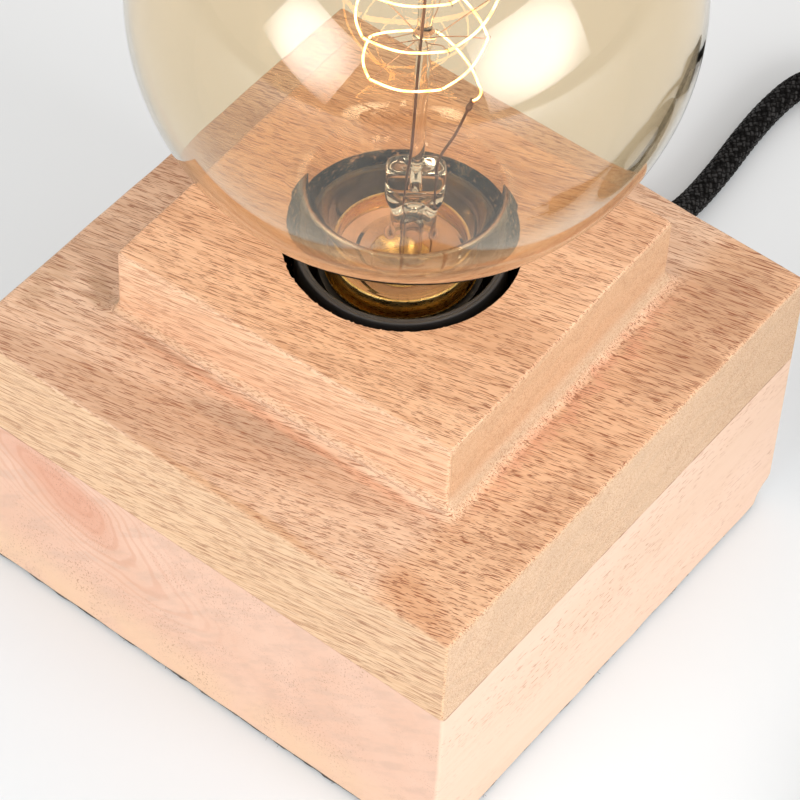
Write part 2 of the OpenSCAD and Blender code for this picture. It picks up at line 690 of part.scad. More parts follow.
// From the coil down to the plug
cord_end_path = [coil_stop, coil_stop + plug_way * 8 - [0, 0, 0.7], coil_stop + plug_way * 17 - [0, 0, 2.5],
    coil_stop + plug_way * cord_end_l - [0, 0, coil_stop[2] - plug_z]];

module at_exit() translate([0, block_d / 2, exit_z]) rotate([-90, 0, 0]) children();
module strain_relief() color("#161515") at_exit() difference() {
    union() {
        post(relief_r + 0.9, tiny, relief_flange_t);
        translate([0, 0, relief_flange_t - tiny])
            cylinder(r1 = relief_r, r2 = cord_r + relief_wall, h = relief_l - relief_flange_t + tiny);
        post(relief_neck_r, -relief_neck_l + tiny, over);
    }
    post(cord_r + cord_gap, -relief_neck_l - over, relief_l + over);
}

sheath_y = hole_y + hollow_d / 2 - 10;      // where the braid ends inside
module cord_inside() color("#1c1a1a") translate([0, sheath_y, exit_z]) rotate([-90, 0, 0])
    cylinder(r = cord_r, h = relief_end_y - sheath_y);

module cable_tie() color("#e8e6df") translate([0, sheath_y + 4, exit_z]) rotate([-90, 0, 0]) difference() {
    union() {
        cylinder(r = cord_r + 1.3, h = 4.5);
        translate([-2.5, -cord_r - 3.4, 0]) cube([5, 3, 4.5]);
    }
    translate([0, 0, -over]) cylinder(r = cord_r + tiny, h = 4.5 + 2 * over);
}

// A conductor from the braid's end, up through the nipple and out to its terminal
wire_x = 1.4;         // half the distance between the two conductors
module conductor(s) sweep([[s * wire_x, sheath_y, exit_z], [s * wire_x, sheath_y - 4, exit_z],
    [s * wire_x, sheath_y - 12, exit_z + 0.5], [s * wire_x, hole_y + 4, exit_z + 1.5],
    [s * wire_x, hole_y + 1, exit_z + 3.5], [s * wire_x, hole_y, exit_z + 7],
    [s * wire_x, hole_y, wire_z - 6], [s * (wire_x + 0.2), hole_y, wire_z - 2.6],
    [s * (wire_x + 1.2), hole_y, wire_z - 0.6], [s * (wire_x + 3.2), hole_y, wire_z],
    [s * (terminal_x + terminal_w / 2 + 1), hole_y, wire_z]], wire_r, 8, [1, s, 0]);
module wire_live() color("#7a4a26") conductor(-1);
module wire_neutral() color("#2f56a8") conductor(1);

module cord_out() color("#1c1a1a")
    sweep(cord_out_path, cord_r, cord_sides, first = [0, 1, 0], last = [1, 0, 0]);
module cord_mid() color("#1c1a1a")
    sweep(cord_mid_path, cord_r, cord_sides, first = [1, 0, 0], last = [0, -1, 0]);
module cord_end() color("#1c1a1a")
    sweep(cord_end_path, cord_r, cord_sides, first = plug_way, last = plug_way);

module cord_coil() color("#1c1a1a") sweep(coil_path, cord_r, 6, first = [0, -1, 0], last = plug_way);

// The least gap between one turn of the coil and any other, measured on its points
coil_gap = min([for (i = [1:len(coil_path) - 2], j = [i + coil_rings / 2:len(coil_path) - 2])
    norm(coil_path[i] - coil_path[j])]) - cord_d;
function way_length(p) = [for (i = 1, s = norm(p[1] - p[0]); i < len(p); i = i + 1,
    s = s + (i < len(p) ? norm(p[i] - p[i - 1]) : 0)) s][len(p) - 2];
echo(least_gap_in_coil = coil_gap);
echo(cord_length = relief_l + way_length(cord_out_path) + switch_l + way_length(cord_mid_path)
    + way_length(coil_path) + way_length(cord_end_path) + plug_relief_l);

// The tie goes round all the turns at the coil's left side
tie_in_r = sqrt(pow(coil_r - coil_step * coil_half / 2 - cord_r, 2) - pow(tie_w / 2, 2)) - air;
tie_out_r = coil_out_r + cord_r + air;
tie_w_in = tie_out_r - tie_in_r;
tie_top = coil_z + coil_step + cord_r + air;
module coil_tie() color("#2a2a2c") translate([coil_at[0] - (tie_in_r + tie_out_r) / 2, coil_at[1], 0])
    rotate([90, 0, 0]) translate([0, 0, -tie_w / 2]) linear_extrude(tie_w) difference() {
        translate([-tie_w_in / 2 - tie_t, 0]) square([tie_w_in + 2 * tie_t, tie_top + tie_t]);
        translate([-tie_w_in / 2, tie_t]) square([tie_w_in, tie_top - tie_t]);
    }

tail_l = 8;
module cord_tails() color("#1c1a1a") {
    for (s = [-1, 1]) translate([switch_x + s * switch_l / 2, switch_y, split_z]) rotate([0, -90 * s, 0])
        cylinder(r = cord_r, h = tail_l);
    on_plug() translate([0, 0, plug_z]) rotate([0, 90, 0]) cylinder(r = cord_r, h = plug_relief_l + 4);
}

// ---- In-line switch ----

module on_switch(z = 0) translate([switch_x, switch_y, z]) children();
module pill(l, w, r) {
    square([l - 2 * r, w], center = true);
    square([l, w - 2 * r], center = true);
    for (x = [-1, 1], y = [-1, 1]) translate([x * (l / 2 - r), y * (w / 2 - r)]) circle(r);
}
module switch_form(inset, z0, z1) intersection() {
    linear_extrude(switch_h) pill(switch_l - 2 * inset, switch_w - 2 * inset, 9 - inset);
    translate([0, 0, switch_h / 2]) along_y(2 * switch_w)
        pill(switch_l - 2 * inset, switch_h - 2 * inset, 4 - inset);
    translate([-switch_l, -switch_w, z0]) cube([2 * switch_l, 2 * switch_w, z1 - z0]);
}
module switch_cord_holes() for (s = [-1, 1]) translate([s * (switch_l / 2 + over), 0, split_z])
    rotate([0, -90 * s, 0]) cylinder(r = cord_r + cord_gap, h = tail_l + over + tiny);

screw_x = 19;
module at_switch_screws() for (p = [[-screw_x, -6], [screw_x, 6]]) translate([p[0], p[1], 0]) children();

module switch_base() color("#1b1a1b") on_switch(0.1) difference() {
    union() {
        difference() {
            switch_form(0, 0, split_z - 0.1);
            switch_form(switch_wall, 0, switch_h);
        }
        intersection() {
            at_switch_screws() post(2.8, 0, split_z - 0.1);
            switch_form(1, 0, switch_h);
        }
    }
    translate([0, 0, -0.1]) switch_cord_holes();
    at_switch_screws() {
        post(1.25, -over, switch_h);
        post(2.4, -over, 2);
    }
}

pivot_z = switch_h - 2.8;
module switch_cover() color("#1b1a1b") on_switch(0.1) difference() {
    union() {
        difference() {
            switch_form(0, split_z - 0.1 + tiny, switch_h);
            switch_form(switch_wall, 0, switch_h);
        }
        intersection() {
            at_switch_screws() post(2.8, split_z - 0.1 + tiny, switch_h);
            switch_form(1, 0, switch_h);
        }
        for (s = [-1, 1]) translate([-3, s * (rocker_w / 2 + 1.4) - 0.9, pivot_z - 3]) cube([6, 1.8, 4.5]);
    }
    translate([0, 0, -0.1]) switch_cord_holes();
    translate([-rocker_l / 2 - 0.9, -rocker_w / 2 - 0.5, switch_h - switch_wall - over])
        cube([rocker_l + 1.8, rocker_w + 1, switch_wall + 2 * over]);
    translate([0, 0, pivot_z]) rotate([90, 0, 0])
        cylinder(r = pivot_r + tiny, h = rocker_w + 8, center = true);
    at_switch_screws() post(1.25, 0, switch_h - 3);
}

rocker_deep = 3.4;    // from the pivot down to the rocker's underside
module at_pivot() on_switch(0.1 + pivot_z) children();
// Drawn tilted down on the side towards the lamp: the lamp is on
module switch_rocker() color("#242325") at_pivot() rotate([0, -rocker_tilt, 0]) difference() {
    rotate([90, 0, 0]) translate([0, 0, -rocker_w / 2]) linear_extrude(rocker_w)
        polygon([[-rocker_l / 2, 3.4], [0, 2.3], [rocker_l / 2, 3.4], [rocker_l / 2 - 0.4, -1.6],
            [4, -rocker_deep], [-4, -rocker_deep], [-rocker_l / 2 + 0.4, -1.6]]);
    rotate([90, 0, 0]) cylinder(r = pivot_r + pivot_gap, h = rocker_w + 2, center = true);
}
contact_y = -2;       // the contacts lie beside the neutral conductor
contact_w = 4;
blade_half = 3.5;     // half the length of the blade on the rocker
blade_t = 0.5;
blade_z = -rocker_deep - blade_t;
blade_low = pivot_z + blade_z * cos(rocker_tilt) - blade_half * sin(rocker_tilt);
block_x = 9.5;
block_l = 5;
module rocker_contact() color("#c9a24a") at_pivot() rotate([0, -rocker_tilt, 0])
    translate([-blade_half, contact_y - contact_w / 2 + air, blade_z])
        cube([2 * blade_half, contact_w - 2 * air, blade_t - tiny]);
module rocker_pivot() color("#a8a6a2") at_pivot() rotate([90, 0, 0])
    cylinder(r = pivot_r, h = rocker_w + 4, center = true);

// The lamp's side lies under the lowered end of the blade, the plug's side under its middle
module switch_contacts() color("#c9a24a") on_switch(0.1 + switch_wall + tiny)
    translate([0, contact_y - contact_w / 2, 0]) {
    block_h = blade_low - air - 1 - switch_wall;
    for (s = [-1, 1]) translate([s * block_x - block_l / 2, 0, 0]) cube([block_l, contact_w, block_h]);
    translate([-block_x, 0, block_h - tiny]) cube([block_x - blade_half + 1.2, contact_w, 1]);
    translate([-1, 0, block_h - 1]) cube([block_x, contact_w, 1]);
    translate([-1, 0, block_h - 1]) cube([2, contact_w, 2.2]);
}
module switch_screws() color("#a8a6a2") on_switch(0.1) at_switch_screws() {
    post(1.2, 1, switch_h - 5);
    post(2.2, 0.5, 1.9);
}
wire_y = 1.7;
module switch_wires() on_switch(split_z) {
    color("#2f56a8") translate([-switch_l / 2 + tail_l + tiny, wire_y, 0]) rotate([0, 90, 0])
        cylinder(r = wire_r, h = switch_l - 2 * tail_l - 2 * tiny);
    color("#7a4a26") for (s = [-1, 1]) translate([s * (switch_l / 2 - tail_l - tiny), -wire_y, -0.6])
        rotate([0, -90 * s, 0])
            cylinder(r = wire_r, h = switch_l / 2 - tail_l - block_x - block_l / 2 - 2 * tiny);
}

// ---- Plug ----

plug_turn = atan2(plug_way[1], plug_way[0]);
plug_at = coil_stop + plug_way * cord_end_l;
module on_plug(u = 0) translate([plug_at[0], plug_at[1], 0]) rotate(plug_turn)
    translate([u, 0, 0]) children();

module plug_relief() color("#161515") on_plug() translate([0, 0, plug_z]) rotate([0, 90, 0]) difference() {
    cylinder(r1 = cord_r + relief_wall, r2 = cord_r + 2.1, h = plug_relief_l);
    post(cord_r + cord_gap, -over, plug_relief_l + over);
}

module in_plug() on_plug(plug_relief_l + tiny) translate([0, 0, plug_z]) children();
module plug_body() color("#1b1a1b") in_plug() difference() {
    intersection() {
        translate([0, 0, -plug_h]) linear_extrude(2 * plug_h) polygon([[0, -7.5], [9, -10],
            [20, -plug_w / 2 + 1.5], [plug_l - 2, -plug_w / 2], [plug_l, -plug_w / 2 + 2],
            [plug_l, plug_w / 2 - 2], [plug_l - 2, plug_w / 2], [20, plug_w / 2 - 1.5], [9, 10], [0, 7.5]]);
        along_y(2 * plug_w) polygon([[0, -5.6], [plug_l - 12, -plug_h / 2], [plug_l, -plug_h / 2],
            [plug_l, plug_h / 2], [plug_l - 12, plug_h / 2], [0, 5.6]]);
        rotate([90, 0, 90]) linear_extrude(plug_l) pill(plug_w, plug_h, plug_h / 2 - 1);
    }
    rotate([0, 90, 0]) translate([0, 0, -over]) cylinder(r = cord_r + cord_gap, h = 4 + over);
    at_pins() translate([0, 0, plug_l - pin_in]) cylinder(r = sleeve_r + tiny, h = pin_in + over);
}

pin_in = 12;
sleeve_r = pin_r - 0.2;
pin_core_r = pin_r - 0.5;
module at_pins() for (s = [-1, 1]) translate([0, s * pin_apart / 2, 0]) rotate([0, 90, 0]) children();
module plug_pins() color("#cfcbc2") in_plug() at_pins() {
    translate([0, 0, plug_l - pin_in + tiny]) cylinder(r = pin_core_r, h = pin_in + sleeve_l);
    translate([0, 0, plug_l + sleeve_l]) cylinder(r = pin_r, h = pin_l - sleeve_l - 1);
    translate([0, 0, plug_l + pin_l - 1]) cylinder(r1 = pin_r, r2 = pin_r - 0.8, h = 1);
}
module plug_sleeves() color("#1b1a1b") in_plug() at_pins() difference() {
    translate([0, 0, plug_l - pin_in + tiny]) cylinder(r = sleeve_r, h = pin_in + sleeve_l - 2 * tiny);
    translate([0, 0, plug_l - pin_in - over]) cylinder(r = pin_core_r + tiny, h = pin_in + pin_l);
}

base_felt();
cover_plate();
plate_screws();
lower_board();
upper_board();
nipple();
nipple_nut();
nipple_washers();
holder_body();
holder_skirt();
contact_block();
screw_shell();
centre_contact();
contact_rivets();
terminals();
terminal_screws();
grub_screw();
bulb_tip();
bulb_glass();
bulb_cap();
bulb_insulator();
bulb_stem();
exhaust_tube();
glass_rod();
lead_wires();
support_wires();
filament();
strain_relief();
cord_inside();
cable_tie();
wire_live();
wire_neutral();
cord_out();
cord_mid();
cord_coil();
cord_end();
coil_tie();
cord_tails();
switch_base();
switch_cover();
switch_rocker();
rocker_contact();
rocker_pivot();
switch_contacts();
switch_screws();
switch_wires();
plug_body();
plug_relief();
plug_pins();
plug_sleeves();
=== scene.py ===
"""Dresses the bare bulb table lamp: wooden block, lampholder, globe bulb, braided cord, switch and plug.
Metres, +Z up, origin at the centre of the block's underside. The cord leaves the back, at +Y."""

import json
import math
import random

import bmesh
import bpy
import numpy as np
from mathutils import Matrix, Vector, noise

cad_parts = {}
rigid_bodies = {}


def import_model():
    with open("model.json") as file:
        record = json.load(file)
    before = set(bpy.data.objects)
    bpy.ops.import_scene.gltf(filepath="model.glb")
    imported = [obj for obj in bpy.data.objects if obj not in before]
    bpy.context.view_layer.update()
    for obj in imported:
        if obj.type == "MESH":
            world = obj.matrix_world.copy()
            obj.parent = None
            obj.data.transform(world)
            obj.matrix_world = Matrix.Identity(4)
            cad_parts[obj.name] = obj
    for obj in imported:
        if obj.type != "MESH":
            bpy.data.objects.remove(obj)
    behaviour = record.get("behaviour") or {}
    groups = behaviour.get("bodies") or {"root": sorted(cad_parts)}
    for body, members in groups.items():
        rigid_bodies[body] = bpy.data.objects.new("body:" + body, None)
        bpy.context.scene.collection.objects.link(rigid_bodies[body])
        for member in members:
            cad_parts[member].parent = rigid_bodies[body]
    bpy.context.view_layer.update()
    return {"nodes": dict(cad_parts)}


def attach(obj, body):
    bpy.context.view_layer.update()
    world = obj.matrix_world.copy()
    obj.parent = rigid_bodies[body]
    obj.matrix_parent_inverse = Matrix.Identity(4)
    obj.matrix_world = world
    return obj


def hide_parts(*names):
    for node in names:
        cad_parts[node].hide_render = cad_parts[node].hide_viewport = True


bl_info = {
    "name": "Bare Bulb Table Lamp",
    "version": (1, 0, 0),
    "blender": (4, 5, 0),
    "location": "View3D > Sidebar > Lamp",
    "description": "Builds a table lamp with a wooden block, a globe bulb and a braided cord",
    "category": "Object",
}

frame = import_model()
NODES = frame["nodes"]

MM = 0.001
TURN = 2 * math.pi
HOLE_Y = 2.5 * MM          # the bored hole's axis, off the block's centre
SEED = 11
noise.seed_set(SEED)        # without it, noise_vector differs from one session to the next


# ---- Settings ----

def length(name, default, description, low=0.0):
    return bpy.props.FloatProperty(name=name, description=description, default=default * MM, min=low,
                                   unit="LENGTH", subtype="DISTANCE", precision=5)


def colour(name, default, description):
    return bpy.props.FloatVectorProperty(name=name, description=description, default=default, size=4,
                                         min=0, max=1, subtype="COLOR")


class LampWoodSettings(bpy.types.PropertyGroup):
    """Sizes and colours of the wooden block and its felt."""
    width: length("Length", 110, "Length of the block along X")
    depth: length("Depth", 108, "Depth of the block along Y")
    felt: length("Felt", 1, "Thickness of the felt")
    glue: length("Glue line", 42.2, "Height of the joint between the boards")
    ledge: length("Ledge", 64, "Height of the ledge round the carved square")
    top: length("Top", 79.7, "Height of the carved square's top")
    step_width: length("Square length", 74, "Length of the carved square along X")
    step_depth: length("Square depth", 68, "Depth of the carved square along Y")
    step_x: bpy.props.FloatProperty(name="Square off centre, X", default=-1.1 * MM, unit="LENGTH",
                                    description="How far the square sits off centre along X")
    step_y: bpy.props.FloatProperty(name="Square off centre, Y", default=2.3 * MM, unit="LENGTH",
                                    description="How far the square sits off centre along Y")
    step_turn: bpy.props.FloatProperty(name="Square turn", default=math.radians(1.6), subtype="ANGLE",
                                       description="How far the square was turned as it was cut")
    cove: length("Cove", 3, "Radius of the cove at the square's foot")
    eased: length("Eased edge", 0.8, "Radius of the hand-sanded outer edges")
    hole: length("Hole radius", 21.85, "Radius of the hole bored for the lampholder")
    hollow: length("Hollow radius", 32, "Radius of the wiring hollow")
    web_top: length("Web top", 27.3, "Height of the web that carries the lampholder")
    web_foot: length("Web foot", 21.3, "Height of the web's underside")
    plate: length("Plate side", 80, "Side of the rebate for the cover plate")
    upper_pale: colour("Upper board, pale", (1.0, 0.645, 0.42, 1), "Pale wood of the upper board")
    upper_brown: colour("Upper board, brown", (0.66, 0.36, 0.205, 1), "Brown streaks of the upper board")
    upper_end: colour("Upper board, end grain", (0.67, 0.47, 0.31, 1), "Pale end grain on its right-hand side")
    upper_side: colour("Upper board, sides", (0.765, 0.51, 0.315, 1), "Yellowish wood on its sides")
    lower_pink: colour("Lower board, pink", (0.77, 0.505, 0.378, 1), "Pink wood of the lower board")
    lower_pale: colour("Lower board, pale", (0.72, 0.505, 0.38, 1), "Pale wood on its right-hand side")
    pore: colour("Pores", (0.33, 0.105, 0.045, 1), "Colour of the wood's open pores")
    felt_dark: colour("Felt", (0.035, 0.028, 0.024, 1), "Colour of the felt")


class LampHolderSettings(bpy.types.PropertyGroup):
    """Sizes and colours of the lampholder."""
    radius: length("Radius", 19.35, "Outside radius of the lampholder")
    wall: length("Wall", 1.45, "Wall of the lampholder at its rim")
    rim: length("Rim", 78.8, "Height of the lampholder's rim")
    joint: length("Joint", 46.3, "Height where the skirt meets the lower body")
    block: length("Block", 41.3, "Height of the contact block's underside")
    shell_top: length("Shell top", 74.5, "Height of the brass shell's mouth")
    shell_radius: length("Shell radius", 12.93, "Mean radius of the shell's thread")
    pitch: length("Pitch", 3.629, "Rise of the thread in one turn")
    thread: length("Thread depth", 0.48, "Half the depth of the rounded thread")
    body: colour("Body", (0.05, 0.045, 0.043, 1), "Colour of the moulded lampholder")
    brass: colour("Brass", (0.86, 0.63, 0.26, 1), "Colour of the brass shells")


class LampBulbSettings(bpy.types.PropertyGroup):
    """Sizes and colours of the bulb."""
    radius: length("Globe radius", 48.6, "Radius of the glass globe")
    centre: length("Globe centre", 140.9, "Height of the globe's centre")
    glass: length("Glass", 0.8, "Thickness of the glass")
    neck: length("Neck", 12.5, "Radius of the neck")
    neck_lean: bpy.props.FloatProperty(name="Neck's slope", default=70.5, description="Slope of the neck, in degrees")
    flare: length("Flare", 8, "Radius of the hollow curve from the neck into the globe")
    cap_rim: length("Cap rim", 77.7, "Height of the cap's rim")
    cap_radius: length("Cap radius", 12.63, "Mean radius of the cap's thread")
    seal: length("Seal", 74.8, "Height of the seal between the neck and the stem")
    seal_radius: length("Seal radius", 12.5, "Radius of the glass at the seal")
    stem: length("Stem top", 99.2, "Height of the stem's top")
    stem_radius: length("Stem radius", 4.2, "Radius of the stem's tube")
    rod: length("Rod", 1.3, "Radius of the glass rod")
    rod_top: length("Rod top", 170, "Height of the rod's top")
    filament_foot: length("Filament foot", 120, "Height of the filament's first turn")
    filament_rise: length("Filament rise", 10.7, "Rise of the filament in one turn")
    filament_radius: length("Filament radius", 10.1, "Radius of its first and last turn")
    filament_swell: length("Filament swell", 2.7, "How much wider its middle turns are")
    filament_turns: bpy.props.FloatProperty(name="Filament turns", default=4.5, min=1,
                                            description="Turns of the filament round the rod")
    amber: colour("Amber glass", (0.93, 0.835, 0.675, 1), "What one wall of the glass lets through")
    clear: colour("Clear glass", (0.985, 0.955, 0.915, 1), "What the stem's glass lets through")
    glow: colour("Glow", (1.0, 0.45, 0.095, 1), "Colour of the glowing filament")
    glow_strength: bpy.props.FloatProperty(name="Glow strength", default=8.0, min=0,
                                           description="Strength of the filament's glow")


class LampCordSettings(bpy.types.PropertyGroup):
    """Sizes and colours of the cord, its switch and its plug."""
    diameter: length("Diameter", 5.7, "Diameter of the braided cord")
    strands: bpy.props.IntProperty(name="Strands", default=11, min=4,
                                   description="Strands of the braid laid each way round")
    lay: length("Strand lay", 1.8, "Length of one crossing of the braid")
    coil_radius: length("Coil radius", 32.7, "Radius of the coil at the middle of its turns")
    coil_step: length("Coil step", 6.2, "Distance from one turn to the next")
    coil_turns: bpy.props.FloatProperty(name="Coil turns", default=7.04, min=1,
                                        description="Turns of the coil, in two layers")
    switch_length: length("Switch length", 62, "Length of the switch")
    switch_width: length("Switch width", 27, "Width of the switch")
    switch_height: length("Switch height", 18, "Height of the switch")
    plug_length: length("Plug length", 36, "Length of the plug's body")
    plug_width: length("Plug width", 35.3, "Width of the plug's face")
    plug_height: length("Plug height", 13.7, "Height of the plug's face")
    yarn: colour("Yarn", (0.009, 0.008, 0.0075, 1), "Colour of the braid's yarn")
    black: colour("Black plastic", (0.016, 0.016, 0.017, 1), "Colour of the switch and the plug")


class LampStageSettings(bpy.types.PropertyGroup):
    """Floor, lamps and camera."""
    # The floor's near colour is tinted blue as painted light that cancels the warm light the wood throws on it; its
    # far colour is painted lighter where the lamp's shade falls.
    floor: colour("Floor", (0.815, 0.868, 0.905, 1), "Colour of the floor")
    floor_far_painted_light: colour("Floor, far", (0.90, 0.905, 0.91, 1), "Colour of the floor behind the lamp")
    sky: bpy.props.FloatProperty(name="Sky", default=0.66, min=0, description="Light from all round")
    lamps: bpy.props.FloatProperty(name="Lamps", default=3.1, min=0, description="Brightness of the soft boxes")
    lens: bpy.props.FloatProperty(name="Lens", default=165.5, min=10, unit="CAMERA",
                                  description="Focal length on a 36 mm wide sensor")


# ---- Meshes ----

class Form:
    """Points and faces of one piece, gathered from its surfaces."""

    def __init__(self):
        self.points, self.faces, self.uvs = [], [], []

    def add(self, rings, closed=False, capped=False, rows=None):
        """Joins rings of equally many points by faces. rows gives each ring's place along a tube's map."""
        n, start = len(rings[0]), len(self.points)
        for ring in rings:
            self.points.extend(tuple(map(float, p)) for p in ring)
        for j in range(len(rings) if closed else len(rings) - 1):
            a, b = start + j * n, start + (j + 1) % len(rings) * n
            for i in range(n):
                k = (i + 1) % n
                self.faces.append((a + i, a + k, b + k, b + i))
                v = (rows[j], rows[j + 1]) if rows else (0, 0)
                self.uvs.append(((i / n, v[0]), ((i + 1) / n, v[0]), ((i + 1) / n, v[1]), (i / n, v[1])))
        for first, way in ((start, -1), (start + (len(rings) - 1) * n, 1)) if capped else ():
            self.faces.append(tuple(range(first, first + n))[::way])
            self.uvs.append(((0, 0),) * n)
        return self

    def piece(self, name, material, body, slot, replaces=(), sharp=35, weighted=False):
        """Makes the object, which rides on body and stands for the named nodes. slot is not used."""
        mesh = bpy.data.meshes.new(name)
        mesh.from_pydata(self.points, [], self.faces)
        layer = mesh.uv_layers.new(name="Along")
        layer.data.foreach_set("uv", [x for face in self.uvs for corner in face for x in corner])
        obj = bpy.data.objects.new(name, mesh)
        bpy.context.scene.collection.objects.link(obj)
        mesh.materials.append(material)
        shade(mesh, sharp)
        if weighted:
            even = obj.modifiers.new("Even normals", "WEIGHTED_NORMAL")
            even.keep_sharp = True
        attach(obj, body)
        if replaces:
            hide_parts(*replaces)
        return obj


def shade(mesh, sharp):
    mesh.polygons.foreach_set("use_smooth", [True] * len(mesh.polygons))
    mesh.set_sharp_from_angle(angle=math.radians(sharp))


def tidy_mesh(obj, sharp=35):
    """Joins points that lie in one place, such as a pole's, and turns every face outwards."""
    bm = bmesh.new()
    bm.from_mesh(obj.data)
    bmesh.ops.remove_doubles(bm, verts=bm.verts, dist=1e-7)
    bmesh.ops.dissolve_degenerate(bm, edges=bm.edges, dist=1e-8)
    bmesh.ops.recalc_face_normals(bm, faces=bm.faces)
    bm.to_mesh(obj.data)
    bm.free()
    shade(obj.data, sharp)
    return obj


def cut_away(obj, cutter_form, sharp=35):
    """Cuts the closed solids of cutter_form out of obj."""
    mesh = bpy.data.meshes.new("cutter")
    mesh.from_pydata(cutter_form.points, [], cutter_form.faces)
    cutter = bpy.data.objects.new("cutter", mesh)
    bpy.context.scene.collection.objects.link(cutter)
    tidy_mesh(cutter)
    cut = obj.modifiers.new("Cut", "BOOLEAN")
    cut.operation, cut.object, cut.solver = "DIFFERENCE", cutter, "EXACT"
    obj.modifiers.move(len(obj.modifiers) - 1, 0)
    hidden = [m for m in obj.modifiers if m != cut and m.show_viewport]
    for m in hidden:
        m.show_viewport = False
    graph = bpy.context.evaluated_depsgraph_get()
    result = bpy.data.meshes.new_from_object(obj.evaluated_get(graph))
    for m in hidden:
        m.show_viewport = True
    obj.modifiers.remove(cut)
    obj.data = result
    bpy.data.objects.remove(cutter)
    shade(result, sharp)
    return obj


def circle(radius, z, count, at=(0.0, 0.0), start=0.0):
    a = start + np.arange(count) * TURN / count
    r = np.broadcast_to(radius, (count,))
    return np.stack([at[0] + r * np.cos(a), at[1] + r * np.sin(a), np.full(count, z)], 1)


def lathe(profile, count, at=(0.0, HOLE_Y)):
    """Rings turned from (radius, height) rows."""
    return [circle(r, z, count, at) for r, z in profile]


def lathe_mm(rows, count, at=(0.0, HOLE_Y)):
    """The same from rows in millimetres."""
    return lathe([(r * MM, z * MM) for r, z in rows], count, at)


def arc(centre, radius, start, stop, steps):
    """Rows of (radius, height) along an arc; angles in degrees from outwards towards up."""
    angles = np.radians(np.linspace(start, stop, steps + 1))
    return [(centre[0] + radius * math.cos(a), centre[1] + radius * math.sin(a)) for a in angles]


def upright(points, place):
    """Turns a shape drawn along +Z so that it lies along a horizontal way, from a point."""
    origin, way = place
    side = Vector((-way[1], way[0], 0))
    turn = Matrix((side, Vector((0, 0, 1)), Vector(way))).transposed()
    return [Vector(origin) + turn @ Vector(p) for p in points]


def lathe_along(rows, count, place, at=(0.0, 0.0)):
    """Rings turned from (radius, distance) rows in millimetres, round a line that runs a horizontal way."""
    return [upright(circle(r * MM, z * MM, count, at), place) for r, z in rows]


def rounded(half_x, half_y, corner, count):
    """A rounded rectangle round nought, as count points at each corner, from +X +Y round to the left."""
    return [(sx * (half_x - corner) + corner * math.cos(a), sy * (half_y - corner) + corner * math.sin(a))
            for sx, sy, start in ((1, 1, 0), (-1, 1, 90), (-1, -1, 180), (1, -1, 270))
            for a in np.radians(start + np.linspace(0, 90, count))]


def boxed(v, power):
    """Cosines or sines raised to a power, which turns a round section into a flatter-sided one."""
    return np.sign(v) * np.abs(v) ** power


SIDE_STEPS, CORNER_STEPS = 120, 8
RING_COUNT = 4 * (SIDE_STEPS + CORNER_STEPS)


def square_ring(width, depth, z, corner, at=(0.0, 0.0), turn=0.0):
    """A rectangle with rounded corners, from the corner at +X +Y round to the left."""
    flat = []
    for q, (sx, sy) in enumerate(((1, 1), (-1, 1), (-1, -1), (1, -1))):
        centre = np.array([sx * (width / 2 - corner), sy * (depth / 2 - corner)])
        angles = np.radians(90 * q + np.linspace(0, 90, CORNER_STEPS + 1))
        rounded = centre + corner * np.stack([np.cos(angles), np.sin(angles)], 1)
        flat.append((rounded, centre))
    rows = []
    for q in range(4):
        rounded, nxt = flat[q][0], flat[(q + 1) % 4][0]
        rows.append(rounded)
        share = (np.arange(1, SIDE_STEPS) / SIDE_STEPS)[:, None]
        rows.append(rounded[-1] + (nxt[0] - rounded[-1]) * share)
    xy = np.concatenate(rows)
    c, s = math.cos(turn), math.sin(turn)
    xy = xy @ np.array([[c, s], [-s, c]]) + np.array(at)
    return np.concatenate([xy, np.full((len(xy), 1), z)], 1)


def round_ring(radius, z):
    """A circle round the hole's axis, whose points match a square ring's."""
    start = math.radians(45) - CORNER_STEPS / 2 * TURN / RING_COUNT
    return circle(radius, z, RING_COUNT, (0.0, HOLE_Y), start)


def wander(ring, size, scale, key):
    """Moves a ring's points a little, as a hand-worked edge strays."""
    out = []
    for p in ring:
        v = noise.noise_vector(Vector((p[0] * scale, p[1] * scale, p[2] * scale + key)))
        out.append((p[0] + v.x * size, p[1] + v.y * size, p[2] + v.z * size))
    return np.array(out)


def smooth_path(points, step, tips=(None, None)):
    """A smooth curve through points, with a new point about every step. tips are the ways at its ends."""
    p = np.array(points, float)
    gaps = np.linalg.norm(np.diff(p, axis=0), axis=1)
    t = np.concatenate([[0], np.cumsum(gaps)])
    slope = np.zeros_like(p)
    slope[1:-1] = (p[2:] - p[:-2]) / (t[2:] - t[:-2])[:, None]
    slope[0] = np.array(tips[0]) if tips[0] is not None else (p[1] - p[0]) / gaps[0]
    slope[-1] = np.array(tips[1]) if tips[1] is not None else (p[-1] - p[-2]) / gaps[-1]
    out = [p[0]]
    for i, gap in enumerate(gaps):
        for u in np.linspace(0, 1, max(2, math.ceil(gap / step) + 1))[1:]:
            a, b = 2 * u**3 - 3 * u**2 + 1, u**3 - 2 * u**2 + u
            out.append(a * p[i] + b * gap * slope[i] + (1 - a) * p[i + 1] + (u**3 - u**2) * gap * slope[i + 1])
    return np.array(out)


